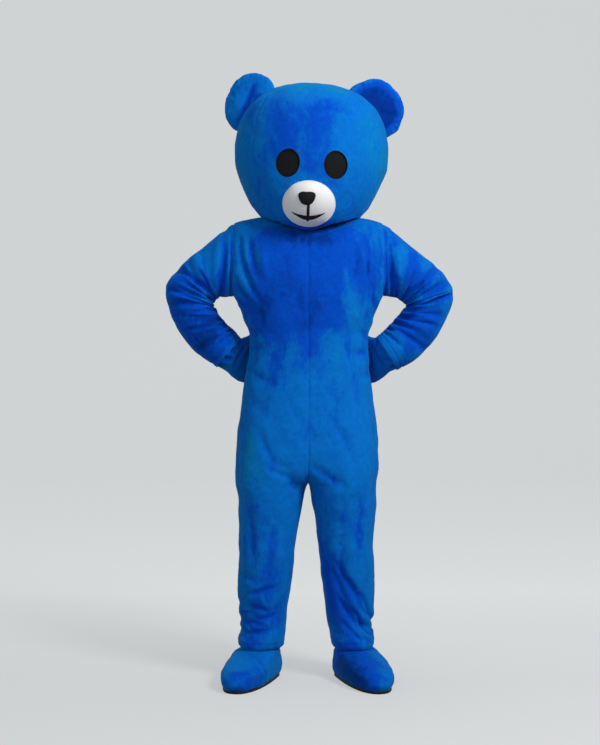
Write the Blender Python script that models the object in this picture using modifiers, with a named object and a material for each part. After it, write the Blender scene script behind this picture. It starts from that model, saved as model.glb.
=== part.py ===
"""A bear mascot costume, worn and standing with its mitts on its hips.

Metres, +Z up. The front faces -Y and +X is to the viewer's right, so "right" below is the
viewer's right. The origin lies midway between the shoulder seams, where the wearer's shoulders
carry the suit. Every cloth piece is a thin wall between an outer and an inner surface, and the
pieces lie SEAM apart where they are sewn together.
"""

import math

import bmesh
import bpy
import numpy as np
from mathutils import Matrix, Vector

# Driving sizes
FLOOR = -1.430  # the floor, below the shoulders
CLOTH = 0.003  # short-pile plush with its backing
SHELL = 0.008  # plush over foam, on the head
SEAM = 0.0003
SIDES = {"left": -1, "right": 1}

# The suit's body
HEM = FLOOR + 0.098
CROTCH = -0.810
ARMPIT = -0.215
SHOULDER_TIP = 0.010
NECK = 0.035
ARMHOLE_X = 0.235
BODY_POWER = 2.4  # 2 is an ellipse, more is squarer
LEG_POWER = 2.15
NECK_DIP_FRONT = 0.045
NECK_DIP_BACK = 0.018

# height, half width left, half width right, middle of the depth, half depth
BODY = np.array([
    (0.035, 0.120, 0.120, 0.004, 0.085),
    (0.028, 0.165, 0.165, 0.003, 0.090),
    (0.020, 0.205, 0.205, 0.002, 0.096),
    (0.010, 0.235, 0.235, 0.001, 0.102),
    (0.000, 0.247, 0.247, 0.000, 0.107),
    (-0.030, 0.259, 0.259, -0.002, 0.119),
    (-0.080, 0.263, 0.263, -0.004, 0.132),
    (-0.130, 0.259, 0.259, -0.006, 0.140),
    (-0.180, 0.249, 0.250, -0.007, 0.144),
    (-0.215, 0.235, 0.235, -0.008, 0.144),
    (-0.240, 0.221, 0.225, -0.009, 0.142),
    (-0.290, 0.203, 0.206, -0.010, 0.136),
    (-0.350, 0.184, 0.189, -0.010, 0.129),
    (-0.400, 0.184, 0.189, -0.008, 0.128),
    (-0.450, 0.196, 0.194, -0.005, 0.132),
    (-0.520, 0.205, 0.202, 0.000, 0.139),
    (-0.600, 0.216, 0.212, 0.003, 0.145),
    (-0.700, 0.226, 0.220, 0.004, 0.147),
    (-0.760, 0.229, 0.220, 0.004, 0.145),
    (-0.810, 0.230, 0.214, 0.003, 0.139),
    (-0.870, 0.219, 0.214, 0.000, 0.126),
    (-0.920, 0.219, 0.211, -0.002, 0.115),
    (-1.000, 0.217, 0.202, -0.006, 0.101),
    (-1.080, 0.219, 0.209, 0.002, 0.097),
    (-1.160, 0.222, 0.208, 0.011, 0.093),
    (-1.220, 0.223, 0.207, 0.015, 0.088),
    (-1.262, 0.219, 0.201, 0.016, 0.084),
    (-1.285, 0.216, 0.208, 0.015, 0.084),
    (-1.306, 0.223, 0.210, 0.013, 0.085),
    (-1.322, 0.221, 0.208, 0.012, 0.082),
    (-1.332, 0.214, 0.203, 0.012, 0.077),
])

# height, the ring's middle as a share of its half width, and how near the centre plane is to the
# leg's inner edge: 1 at the crotch, where the legs part, and 0 where they are one body ring
RISE = np.array([
    (-0.810, 0.500, 1.00),
    (-0.800, 0.485, 0.83),
    (-0.785, 0.455, 0.66),
    (-0.765, 0.415, 0.49),
    (-0.735, 0.350, 0.33),
    (-0.700, 0.270, 0.20),
    (-0.650, 0.155, 0.09),
    (-0.600, 0.060, 0.03),
    (-0.540, 0.000, 0.00),
    (0.035, 0.000, 0.00),
])

# height, inside-leg edge left, inside-leg edge right, as distances from the middle
INSIDE_LEG = np.array([
    (-0.810, 0.0003, 0.0003),
    (-0.826, 0.0090, 0.0070),
    (-0.870, 0.0190, 0.0130),
    (-0.920, 0.0290, 0.0240),
    (-1.000, 0.0420, 0.0340),
    (-1.080, 0.0500, 0.0420),
    (-1.160, 0.0610, 0.0510),
    (-1.220, 0.0700, 0.0580),
    (-1.262, 0.0740, 0.0640),
    (-1.285, 0.0750, 0.0700),
    (-1.306, 0.0780, 0.0730),
    (-1.322, 0.0800, 0.0760),
    (-1.332, 0.0900, 0.0830),
])

# The heights at which the suit's wall has a row of corners
SUIT_ROWS = np.concatenate([
    np.linspace(HEM, -1.190, 13), np.linspace(-1.145, -0.880, 5), [-0.830, CROTCH, -0.800, -0.785],
    [-0.762, -0.730, -0.690, -0.640], np.linspace(-0.570, -0.260, 7),
    [-0.230, ARMPIT, -0.203, -0.180, -0.140, -0.090, -0.045, -0.015, 0.002, SHOULDER_TIP],
    [0.022, NECK],
])
SUIT_COLUMNS = 7
# height and the angle between the side seam's columns, as if all of them were so far apart: it
# keeps the columns of the legs in line with those of the hips
COLUMN_SPREAD = np.array([
    (HEM, math.pi), (CROTCH, math.pi), (-0.762, 2.75), (-0.730, 2.5), (-0.690, 2.25),
    (-0.640, 1.95), (-0.550, math.pi / 2),
])


def smooth(at, places, values):
    """A smooth line through a table: a cubic between rows, with each slope from the neighbours."""
    order = np.argsort(places)
    x, y = np.asarray(places, float)[order], np.asarray(values, float)[order]
    step = np.diff(x)
    rise = np.diff(y) / step
    slope = np.concatenate([[rise[0]], np.zeros(len(x) - 2), [rise[-1]]])
    same_way = rise[:-1] * rise[1:] > 0
    mean = 2 * rise[:-1] * rise[1:] / np.where(same_way, rise[:-1] + rise[1:], 1)
    slope[1:-1] = np.where(same_way, mean, 0)
    at = np.clip(at, x[0], x[-1])
    i = np.clip(np.searchsorted(x, at) - 1, 0, len(x) - 2)
    t = (at - x[i]) / step[i]
    ends = y[i] * (1 + 2 * t) * (1 - t) ** 2 + y[i + 1] * t**2 * (3 - 2 * t)
    return ends + step[i] * (slope[i] * t * (1 - t) ** 2 - slope[i + 1] * t**2 * (1 - t))


def power(value, exponent):
    """The value to a power, keeping its sign."""
    return np.sign(value) * np.abs(value) ** exponent


def folds(along, across, table):
    """The depth of all folds at a place. Each row of the table is one trough (depth over 0) or
    ridge: its middle, its turn in degrees, its half length, half width and depth. It is a rounded
    bar that fades out at both ends."""
    total = np.zeros(np.broadcast(along, across).shape)
    for middle_along, middle_across, turn, half_length, half_width, depth in table:
        a, b = along - middle_along, across - middle_across
        c, s = math.cos(math.radians(turn)), math.sin(math.radians(turn))
        length, width = (a * c + b * s) / half_length, (b * c - a * s) / half_width
        total -= depth * np.exp(-(length**4) - width**2)
    return total


# Suit folds, as places on the cloth: arc from the outside seam (minus is the front) and height.
# arc, height, turn, half length, half width, depth
SUIT_FOLDS = {
    "left": [
        (-0.060, -1.196, 4, 0.080, 0.012, 0.006),
        (-0.080, -1.236, -8, 0.085, 0.013, 0.007),
        (-0.040, -1.280, 6, 0.070, 0.010, 0.007),
        (-0.100, -1.262, 22, 0.050, 0.012, 0.006),
        (0.070, -1.205, 5, 0.080, 0.013, 0.007),
        (0.050, -1.250, -10, 0.080, 0.012, 0.007),
        (0.090, -1.020, 12, 0.070, 0.016, 0.006),
        (-0.030, -0.890, 82, 0.080, 0.014, 0.005),
        (-0.135, -0.120, 80, 0.070, 0.013, 0.006),
        (-0.090, -0.170, 70, 0.060, 0.014, 0.009),
        (0.120, -0.130, -78, 0.080, 0.014, 0.008),
        (0.080, -0.420, 8, 0.080, 0.016, 0.007),
    ],
    "right": [
        (-0.190, -1.150, 118, 0.100, 0.015, 0.007),
        (-0.150, -1.240, 128, 0.070, 0.014, 0.008),
        (-0.060, -1.268, 160, 0.060, 0.011, 0.009),
        (0.000, -1.250, 175, 0.050, 0.010, 0.006),
        (0.070, -1.215, -6, 0.080, 0.013, 0.007),
        (0.060, -1.262, 8, 0.070, 0.011, 0.006),
        (0.090, -1.010, -12, 0.070, 0.016, 0.006),
        (-0.050, -0.900, 100, 0.110, 0.016, 0.006),
        (-0.135, -0.110, 96, 0.080, 0.013, 0.007),
        (-0.090, -0.165, 112, 0.060, 0.014, 0.009),
        (0.120, -0.130, 78, 0.080, 0.014, 0.008),
        (0.080, -0.430, -8, 0.080, 0.016, 0.007),
    ],
}


def suit_ring(side, height):
    """Half the suit's ring at each height, as middle x, half widths outwards and inwards, middle y,
    half depth, power and the angle at which it meets the centre plane or the inside-leg seam."""
    column = 1 if side == "left" else 2
    outer = smooth(height, BODY[:, 0], BODY[:, column])
    inside = smooth(height, INSIDE_LEG[:, 0], INSIDE_LEG[:, column])
    share = smooth(height, RISE[:, 0], RISE[:, 2])
    joined = height > CROTCH
    middle_x = np.where(joined, outer * smooth(height, RISE[:, 0], RISE[:, 1]), (outer + inside) / 2)
    wide_in = np.where(middle_x > 1e-6, middle_x / np.maximum(share, 0.02), outer)
    half_in = np.where(joined, wide_in, middle_x - inside)
    middle_y = smooth(height, BODY[:, 0], BODY[:, 3])
    depth = smooth(height, BODY[:, 0], BODY[:, 4])
    exponent = smooth(height, [HEM, CROTCH, -0.60, NECK], [LEG_POWER, 2.3, BODY_POWER, BODY_POWER])
    end = np.arccos(-((middle_x / wide_in) ** (exponent / 2)))
    return middle_x, outer - middle_x, half_in, middle_y, depth, exponent, np.where(joined, end, np.pi)


def armhole_angle(side, height):
    """The angle from the side seam at which the armhole's plane cuts the ring, 0 outside it."""
    middle_x, half, _, _, _, exponent, _ = suit_ring(side, height)
    share = np.clip((ARMHOLE_X - middle_x) / half, 0, 1)
    inside = (height > ARMPIT) & (height < SHOULDER_TIP)
    return np.where(inside, np.arccos(share ** (exponent / 2)), 0)


def suit_surface(side, height, angle):
    """The suit's outer face: a squarish ellipse at each height, the angle measured from the side
    seam, less at the front. The neck rows dip towards the middle, and folds press it inwards."""
    middle_x, half_out, half_in, middle_y, depth, exponent, end = suit_ring(side, height)
    arc = angle * smooth(height, [HEM, -0.87, -0.60, NECK], [0.10, 0.11, 0.19, 0.19])
    pressed = folds(arc, height, SUIT_FOLDS[side])
    edge = np.clip((end - np.abs(angle)) / 0.35, 0, 1)
    pressed = pressed * edge**2 * (3 - 2 * edge)
    inwards = 1 + pressed / np.hypot(half_out * np.cos(angle), depth * np.sin(angle))
    half = np.where(np.cos(angle) > 0, half_out, half_in)
    x = middle_x + half * inwards * power(np.cos(angle), 2 / exponent)
    y = middle_y + depth * inwards * power(np.sin(angle), 2 / exponent)
    rising = np.clip((height + 0.09) / (NECK + 0.09), 0, 1) ** 2
    dip = np.where(angle < 0, NECK_DIP_FRONT, NECK_DIP_BACK) * rising * np.sin(angle) ** 2
    return np.stack([SIDES[side] * x, y, height - dip], axis=-1)


def clear_scene():
    for old in list(bpy.data.objects):
        bpy.data.objects.remove(old, do_unlink=True)


def material(name, colour, roughness, metallic=0.0):
    made = bpy.data.materials.new(name)
    made.use_nodes = True
    shader = made.node_tree.nodes["Principled BSDF"]
    shader.inputs["Base Color"].default_value = (*colour, 1)
    shader.inputs["Roughness"].default_value = roughness
    shader.inputs["Metallic"].default_value = metallic
    return made


def grid_faces(rows, columns, closed, start=0):
    """Quads between the rows of a grid, as corner indices."""
    i, j = np.meshgrid(np.arange(rows - 1), np.arange(columns - (not closed)), indexing="ij")
    here, right = i * columns + j, i * columns + (j + 1) % columns
    return np.stack([here, right, right + columns, here + columns], -1).reshape(-1, 4) + start


def add_mesh(name, points, faces, look, smooth_angle=40):
    """A mesh object from corners and faces, with doubled corners merged and faces turned out."""
    mesh = bpy.data.meshes.new(name)
    mesh.from_pydata([tuple(p) for p in points], [], [tuple(int(c) for c in f) for f in faces])
    made = bmesh.new()
    made.from_mesh(mesh)
    bmesh.ops.remove_doubles(made, verts=made.verts, dist=2e-6)
    bmesh.ops.dissolve_degenerate(made, edges=made.edges, dist=1e-6)
    bmesh.ops.recalc_face_normals(made, faces=made.faces)
    if made.calc_volume(signed=True) < 0:
        bmesh.ops.reverse_faces(made, faces=made.faces)
    made.to_mesh(mesh)
    made.free()
    mesh.shade_smooth()
    mesh.set_sharp_from_angle(angle=math.radians(smooth_angle))
    mesh.materials.append(look)
    part = bpy.data.objects.new(name, mesh)
    bpy.data.collections["bear_costume"].objects.link(part)
    return part


def slopes(surface, s, t, reach=1e-4):
    """How fast the surface moves along each of its two parameters."""
    along_s = (surface(s + reach, t) - surface(s - reach, t)) / (2 * reach)
    along_t = (surface(s, t + reach) - surface(s, t - reach)) / (2 * reach)
    return along_s, along_t


def normals(surface, s, t):
    along_s, along_t = slopes(surface, s, t)
    across = np.cross(along_s, along_t)
    length = np.linalg.norm(across, axis=-1, keepdims=True)
    return across / np.maximum(length, 1e-12)


def split_quads(quads):
    """Each quad as two triangles, always along the same diagonal."""
    quads = np.asarray(quads)
    return np.concatenate([quads[:, [0, 1, 2]], quads[:, [0, 2, 3]]])


def wall(name, outer, inner, look, closed=False, split=False):
    """The closed wall between two grids of corners: outer face, inner face and the rims."""
    rows, columns = outer.shape[:2]
    points = np.concatenate([outer.reshape(-1, 3), inner.reshape(-1, 3)])
    count = rows * columns
    faces = [grid_faces(rows, columns, closed), grid_faces(rows, columns, closed, count)[:, ::-1]]
    if split:
        faces[0] = split_quads(faces[0])
    loops = [np.arange(columns), (rows - 1) * columns + np.arange(columns)]
    if closed:
        loops = [np.append(loop, loop[0]) for loop in loops]
    else:
        loops += [np.arange(rows) * columns, np.arange(rows) * columns + columns - 1]
    for loop in loops:
        a, b = loop[:-1], loop[1:]
        faces.append(np.stack([a, b, b + count, a + count], -1))
    return add_mesh(name, points, [face for group in faces for face in group], look)


def make_suit_panel(name, side, facing, look):
    """One of the suit's four panels, from the hem to the neck: from the centre or inside-leg seam
    round to the side seam, the armhole or the shoulder seam. It keeps half a seam from each."""
    turn = {"front": -1, "back": 1}[facing]
    height = np.repeat(SUIT_ROWS[:, None], SUIT_COLUMNS + 1, axis=1)
    share = np.linspace(0, 1, SUIT_COLUMNS + 1)[None, :]

    def surface(z, angle):
        return suit_surface(side, z, angle)

    middle = suit_ring(side, height)[6] * turn
    edge = armhole_angle(side, height) * turn
    speed_middle = np.linalg.norm(slopes(surface, height, middle * 0.995)[1], axis=-1)
    middle = middle - turn * np.clip(SEAM / 2 / speed_middle, 0, 0.02)
    speed_edge = np.linalg.norm(slopes(surface, height, edge + turn * 0.02)[1], axis=-1)
    edge = edge + turn * np.clip(SEAM / 2 / speed_edge, 0, 0.05)
    span = middle - edge
    spread = smooth(height, COLUMN_SPREAD[:, 0], COLUMN_SPREAD[:, 1]) * turn
    lead = np.where(height < COLUMN_SPREAD[-1, 0], spread, span)
    angle = edge + lead * (1 - share) + (span - lead) * (1 - share) ** 3
    outer = surface(height, angle)
    out = normals(surface, height, angle) * -SIDES[side]
    inner = outer - CLOTH * out
    for grid in (outer, inner):
        grid[..., 0] = SIDES[side] * np.maximum(grid[..., 0] * SIDES[side], SEAM / 2)
        tip = (height[:, -1] >= ARMPIT) & (height[:, -1] <= SHOULDER_TIP)
        reach = grid[tip, -1, 0] * SIDES[side]
        grid[tip, -1, 0] = SIDES[side] * np.minimum(reach, ARMHOLE_X)
    return wall(name, outer, inner, look)


# Sleeves: the edge over the arm and the edge under it, as distance from the middle and height,
# then the middle of the depth and half the depth. The first row is the armhole.
SLEEVE_ROWS = {
    "left": np.array([
        (0.2353, 0.008, 0.2353, -0.213, -0.002, 0.072),
        (0.272, -0.011, 0.247, -0.216, -0.002, 0.078),
        (0.302, -0.036, 0.262, -0.218, 0.000, 0.083),
        (0.343, -0.073, 0.278, -0.219, 0.004, 0.085),
        (0.384, -0.104, 0.292, -0.224, 0.010, 0.083),
        (0.424, -0.141, 0.302, -0.236, 0.014, 0.080),
        (0.451, -0.186, 0.305, -0.243, 0.016, 0.077),
        (0.453, -0.226, 0.300, -0.249, 0.016, 0.075),
        (0.437, -0.276, 0.290, -0.270, 0.016, 0.073),
        (0.412, -0.324, 0.272, -0.292, 0.017, 0.071),
        (0.380, -0.369, 0.252, -0.314, 0.019, 0.068),
        (0.336, -0.410, 0.233, -0.332, 0.022, 0.066),
        (0.291, -0.441, 0.216, -0.352, 0.026, 0.063),
    ]),
    "right": np.array([
        (0.2353, 0.008, 0.2353, -0.213, -0.002, 0.072),
        (0.278, -0.016, 0.250, -0.217, -0.002, 0.078),
        (0.302, -0.038, 0.264, -0.219, 0.000, 0.083),
        (0.345, -0.077, 0.281, -0.223, 0.004, 0.085),
        (0.392, -0.112, 0.298, -0.232, 0.010, 0.083),
        (0.434, -0.153, 0.311, -0.241, 0.014, 0.080),
        (0.459, -0.194, 0.315, -0.249, 0.016, 0.077),
        (0.461, -0.220, 0.312, -0.254, 0.016, 0.075),
        (0.443, -0.280, 0.296, -0.270, 0.016, 0.073),
        (0.419, -0.327, 0.276, -0.292, 0.017, 0.071),
        (0.384, -0.376, 0.257, -0.314, 0.019, 0.068),
        (0.338, -0.420, 0.238, -0.333, 0.022, 0.066),
        (0.283, -0.449, 0.219, -0.348, 0.026, 0.063),
    ]),
}
SLEEVE_SET_IN = 3.0  # the rows over which the armhole's shape turns into the arm's ellipse
SLEEVE_PLACES = np.concatenate([[0, 0.4], np.arange(1, 12.25, 0.5), [11.8]])
SLEEVE_PLACES = np.unique(np.round(SLEEVE_PLACES, 2))
SLEEVE_COLUMNS = 14

# Sleeve folds: row of the table, angle round the arm in units of 60 degrees (0 is over the arm,
# 1.5 the front, 3 under it), turn, half length, half width, depth
SLEEVE_FOLDS = {
    "left": [
        (1.6, 1.2, 55, 1.5, 0.32, 0.007),
        (2.9, 1.5, 62, 1.3, 0.34, 0.008),
        (4.4, 1.7, 70, 1.3, 0.28, 0.010),
        (5.6, 1.9, 96, 1.1, 0.22, 0.009),
        (6.3, 2.0, 92, 1.1, 0.20, 0.007),
        (7.1, 1.9, 88, 1.2, 0.22, 0.008),
        (7.9, 1.9, 90, 1.2, 0.22, 0.008),
        (8.8, 1.8, 84, 1.3, 0.26, 0.009),
        (9.8, 2.4, 96, 0.9, 0.22, 0.006),
        (5.8, -1.6, 88, 1.1, 0.26, 0.008),
        (7.0, -1.8, 94, 1.1, 0.26, 0.008),
        (8.3, -1.7, 86, 1.1, 0.26, 0.008),
        (2.4, -1.5, -60, 1.3, 0.34, 0.008),
    ],
    "right": [
        (1.4, 1.1, 58, 1.5, 0.30, 0.008),
        (2.6, 1.4, 64, 1.4, 0.32, 0.009),
        (4.0, 1.6, 66, 1.3, 0.28, 0.009),
        (5.3, 1.8, 92, 1.2, 0.22, 0.009),
        (6.1, 1.9, 96, 1.1, 0.20, 0.008),
        (6.9, 1.8, 90, 1.1, 0.20, 0.008),
        (7.6, 2.0, 88, 1.1, 0.20, 0.007),
        (8.4, 2.2, 92, 1.0, 0.22, 0.007),
        (9.6, 1.6, 104, 1.0, 0.28, 0.007),
        (5.6, -1.6, 94, 1.1, 0.26, 0.008),
        (6.9, -1.8, 86, 1.1, 0.26, 0.008),
        (8.2, -1.7, 92, 1.1, 0.26, 0.008),
        (2.3, -1.5, -62, 1.3, 0.34, 0.008),
    ],
}
CUFF_PLACE = 12.0


def armhole_loop(side, angle):
    """The armhole's edge, one seam outside its plane, as a loop from the shoulder tip."""
    middle, half = (SHOULDER_TIP + ARMPIT) / 2, (SHOULDER_TIP - ARMPIT) / 2 - SEAM
    height = middle + half * np.cos(angle)
    turned = armhole_angle(side, height) * np.where(np.sin(angle) > 0, -1, 1)
    loop = suit_surface(side, height, turned)
    loop[..., 0] = SIDES[side] * (ARMHOLE_X + SEAM)
    return loop


def sleeve_surface(side, place, angle):
    """The sleeve's outer face: an ellipse between the over-arm and the under-arm edge of each row,
    growing out of the armhole's loop, pressed in by the folds."""
    table = SLEEVE_ROWS[side]
    rows = np.arange(len(table))
    over_x, over_z, under_x, under_z, middle_y, depth = (
        smooth(place, rows, column) for column in table.T
    )
    wrapped = (angle + math.pi) % (2 * math.pi) - math.pi
    pressed = folds(place, wrapped * 3 / math.pi, SLEEVE_FOLDS[side])
    half = np.hypot(over_x - under_x, over_z - under_z) / 2
    inwards = 1 + pressed * np.clip(place / 1.5, 0, 1) * np.clip((CUFF_PLACE - place) / 1.2, 0, 1) / half
    lean = np.cos(angle) * inwards
    x = (over_x + under_x) / 2 + (over_x - under_x) / 2 * lean
    z = (over_z + under_z) / 2 + (over_z - under_z) / 2 * lean
    y = middle_y - depth * np.sin(angle) * inwards
    ellipse = np.stack([SIDES[side] * x, y, z], axis=-1)
    share = np.clip(place / SLEEVE_SET_IN, 0, 1)[..., None]
    share = share**2 * (3 - 2 * share)
    return armhole_loop(side, angle) * (1 - share) + ellipse * share


def make_sleeve(side, look):
    place = np.repeat(SLEEVE_PLACES[:, None], SLEEVE_COLUMNS, axis=1)
    angle = np.repeat(
        np.linspace(0, 2 * math.pi, SLEEVE_COLUMNS, endpoint=False)[None, :], len(place), axis=0
    )

    def surface(s, t):
        return sleeve_surface(side, s, t)

    outer = surface(place, angle)
    out = normals(surface, np.clip(place, 0.05, 11.95), angle) * -SIDES[side]
    inner = outer - CLOTH * out
    for grid in (outer, inner):
        grid[..., 0] = SIDES[side] * np.maximum(grid[..., 0] * SIDES[side], 0)
        near = place[:, 0] < 2
        reach = np.maximum(grid[near, :, 0] * SIDES[side], ARMHOLE_X + SEAM)
        grid[near, :, 0] = SIDES[side] * reach
    return wall(f"sleeve_{side}", outer, inner, look, closed=True)


# The head, about its own middle. Its profile runs from the crown down past the rim.
HEAD_MIDDLE = np.array([0.010, -0.008, 0.228])
HEAD_ROLL = 2.4  # degrees, towards the right shoulder
HEAD_POWER = 2.1
RIM_FRONT = -0.0195  # the height of the head's lower edge at its front
RIM_SIDE = 0.0310  # where it rests over the shoulders
RIM_BACK = 0.0220
# height, half width, depth to the front, depth to the back
HEAD = np.array([
    (0.2222, 0.0000, 0.0000, 0.0000),
    (0.2166, 0.0616, 0.0580, 0.0560),
    (0.1974, 0.1310, 0.1210, 0.1180),
    (0.1740, 0.1696, 0.1550, 0.1520),
    (0.1452, 0.2000, 0.1830, 0.1780),
    (0.1160, 0.2176, 0.2000, 0.1920),
    (0.0736, 0.2336, 0.2130, 0.2040),
    (0.0000, 0.2410, 0.2200, 0.2080),
    (-0.0416, 0.2368, 0.2200, 0.2040),
    (-0.0832, 0.2224, 0.2160, 0.1920),
    (-0.1184, 0.2064, 0.2080, 0.1760),
    (-0.1536, 0.1872, 0.1960, 0.1580),
    (-0.1920, 0.1584, 0.1780, 0.1360),
    (-0.2208, 0.1280, 0.1580, 0.1120),
    (-0.2368, 0.1000, 0.1350, 0.0900),
    (-0.2520, 0.0700, 0.1080, 0.0650),
])
HEAD_ROWS = 13
# The four gores, as azimuths in degrees from the front, and their columns
GORES = {
    "head_face": (-48, 48, 12),
    "head_side_right": (48, 116, 6),
    "head_back": (116, 244, 11),
    "head_side_left": (244, 312, 6),
}
EYE_HEIGHT = -0.0570
EYE_APART = 0.1452
EYE_MIDDLE = 0.002
EYE_SIZE = (0.0365, 0.0425)
EYE_RECESS = 0.003
EYE_THICK = 0.002


def head_place(points):
    """Head coordinates to the costume's: rolled about the head's middle, then set in place."""
    roll = math.radians(HEAD_ROLL)
    x = points[..., 0] * math.cos(roll) + points[..., 2] * math.sin(roll)
    z = points[..., 2] * math.cos(roll) - points[..., 0] * math.sin(roll)
    return np.stack([x, points[..., 1], z], axis=-1) + HEAD_MIDDLE


def head_surface(place, azimuth):
    """The head's outer face: a rounded ring at each row of its profile, fuller in front."""
    rows = np.arange(len(HEAD))
    height, half, front, back = (smooth(place, rows, column) for column in HEAD.T)
    x = half * power(np.sin(azimuth), 2 / HEAD_POWER)
    depth = np.where(np.cos(azimuth) > 0, front, back)
    y = -depth * power(np.cos(azimuth), 2 / HEAD_POWER)
    return head_place(np.stack([x, y, height], axis=-1))


def rim_place(azimuth):
    """The profile row at which each azimuth reaches the head's lower edge."""
    ends = np.where(np.cos(azimuth) > 0, RIM_FRONT, RIM_BACK)
    lowest = ends + (RIM_SIDE - ends) * np.sin(azimuth) ** 2
    tries = np.linspace(8, len(HEAD) - 1, 400)
    found = [
        np.interp(-level, -head_surface(tries, np.full(400, turn))[:, 2], tries)
        for level, turn in zip(lowest, azimuth)
    ]
    return np.array(found)


def head_grid(azimuth, clear=0.0):
    """Rows of corners from the crown to the rim along the given azimuths, and the way out."""
    share = np.linspace(0, 1, HEAD_ROWS)[:, None] ** 0.9
    place = 0.004 + (rim_place(azimuth)[None, :] - 0.004) * share
    turned = np.repeat(azimuth[None, :], HEAD_ROWS, axis=0)
    out = normals(head_surface, np.maximum(place, 0.05), turned)
    out = out * np.sign((out * (head_surface(place, turned) - HEAD_MIDDLE)).sum(-1, keepdims=True))
    return head_surface(place, turned) + clear * out, out, place, turned


def make_gore(name, start, stop, columns, look):
    """One gore of the head's wall, half a seam short of its neighbours and closed at the crown."""
    azimuth = np.radians(np.linspace(start, stop, columns + 1))
    outer, out, place, turned = head_grid(azimuth)
    for column, way in ((0, 1), (-1, -1)):
        speed = np.linalg.norm(slopes(head_surface, place, turned)[1][:, column], axis=-1)
        shift = np.clip(SEAM / 2 / np.maximum(speed, 1e-6), 0, math.radians(abs(stop - start)) / 3)
        outer[:, column] = head_surface(place[:, column], turned[:, column] + way * shift)
    inner = outer - SHELL * out
    rim = outer[-1, :, 2]
    inner[-1, :, 2] = np.maximum(inner[-1, :, 2], rim)
    outer[0] = outer[0].mean(axis=0)
    up = head_place(np.array([0.0, 0.0, 1.0])) - HEAD_MIDDLE
    inner[0] = outer[0] - SHELL * up
    return wall(name, outer, inner, look, split=True)


def head_blank(clear):
    """The head's whole outer form, out by clear, as a closed cutter with the gores' own facets."""
    turns = [np.linspace(a, b, n + 1)[:-1] for a, b, n in GORES.values()]
    azimuth = np.radians(np.concatenate(turns))
    grid = head_grid(azimuth, clear)[0]
    grid[0] = grid[0].mean(axis=0)
    base = np.arange(len(azimuth)) + (HEAD_ROWS - 1) * len(azimuth)
    points = grid.reshape(-1, 3)
    bottom = points[base].mean(axis=0)
    faces = split_quads(grid_faces(HEAD_ROWS, len(azimuth), True)).tolist()
    cap = [(a, b, len(points)) for a, b in zip(base, np.roll(base, -1))]
    plush = bpy.data.materials["blue plush"]
    return as_cutter(add_mesh("head_blank", np.vstack([points, bottom]), faces + cap, plush))


def as_cutter(part):
    """Keeps a shape in the file for the Boolean steps, but out of the costume."""
    bpy.data.collections["bear_costume"].objects.unlink(part)
    bpy.data.collections["cutters"].objects.link(part)
    part.hide_render = True
    part.display_type = "WIRE"
    return part


def boolean(part, cutter, operation="DIFFERENCE"):
    step = part.modifiers.new(f"{operation.lower()} {cutter.name}", "BOOLEAN")
    step.operation = operation
    step.solver = "EXACT"
    step.object = cutter
    return part


def face_depth(x, z):
    """Where the front of the head lies, in head coordinates, at a place seen from the front."""
    order = np.argsort(HEAD[:, 0])
    half = smooth(z, HEAD[order, 0], HEAD[order, 1])
    front = smooth(z, HEAD[order, 0], HEAD[order, 2])
    share = np.clip(np.abs(x) / half, 0, 1)
    return -front * (1 - share**HEAD_POWER) ** (1 / HEAD_POWER)


def disc_grid(middle, size, rings, around, exponent=2.0):
    """Places over a flat oval, as rings from the middle out: x and z in head coordinates."""
    radius = np.linspace(0, 1, rings + 1)[:, None] ** 0.85
    turn = np.linspace(0, 2 * math.pi, around, endpoint=False)[None, :]
    x = middle[0] + size[0] * radius * power(np.cos(turn), 2 / exponent)
    z = middle[1] + size[1] * radius * power(np.sin(turn), 2 / exponent)
    return x, z, np.repeat(radius, around, axis=1)


def make_lens(name, near, far, look):
    """A closed solid between two disc grids that share their places, with a rim between them."""
    rings, around = near.shape[:2]
    count = rings * around
    points = np.concatenate([near.reshape(-1, 3), far.reshape(-1, 3)])
    edge = (rings - 1) * around + np.arange(around)
    rim = np.stack([edge, np.roll(edge, -1), np.roll(edge, -1) + count, edge + count], -1)
    sides = [grid_faces(rings, around, True), grid_faces(rings, around, True, count)[:, ::-1], rim]
    return add_mesh(name, points, np.concatenate(sides), look)


def make_eye(side, look):
    """See-through mesh set just behind the face, filling its eye hole but for a seam."""
    middle = (EYE_MIDDLE + SIDES[side] * EYE_APART / 2, EYE_HEIGHT)
    size = (EYE_SIZE[0] - SEAM, EYE_SIZE[1] - SEAM)
    x, z, _ = disc_grid(middle, size, 3, 28)
    y = face_depth(x, z)
    near = head_place(np.stack([x, y + EYE_RECESS, z], -1))
    far = head_place(np.stack([x, y + EYE_RECESS + EYE_THICK, z], -1))
    return make_lens(f"eye_{side}", near, far, look)


def eye_hole(side):
    """The oval bar that cuts an eye hole through the face."""
    middle = (EYE_MIDDLE + SIDES[side] * EYE_APART / 2, EYE_HEIGHT)
    x, z, _ = disc_grid(middle, EYE_SIZE, 1, 28)
    near = head_place(np.stack([x, np.full_like(x, -0.30), z], -1))
    far = head_place(np.stack([x, np.full_like(x, -0.10), z], -1))
    return as_cutter(make_lens(f"eye_hole_{side}", near, far, bpy.data.materials["blue plush"]))


MUZZLE_MIDDLE = (-0.0015, -0.1745)
MUZZLE_SIZE = (0.0800, 0.0650)
MUZZLE_DOME = 0.036
MUZZLE_EDGE = 0.005
NOSE_MIDDLE = (-0.0085, -0.1635)
NOSE_SIZE = (0.0330, 0.0205)
NOSE_PROUD = 0.009
MOUTH_X = -0.0030
LINE_TOP, LINE_BOTTOM, LINE_HALF = -0.1720, -0.2190, 0.0048
SMILE_HALF_WIDTH = 0.0520
SMILE_END, SMILE_BOTTOM = -0.2020, -0.2195
SMILE_THICK = 0.0120
MARK_PROUD = 0.0025


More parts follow.
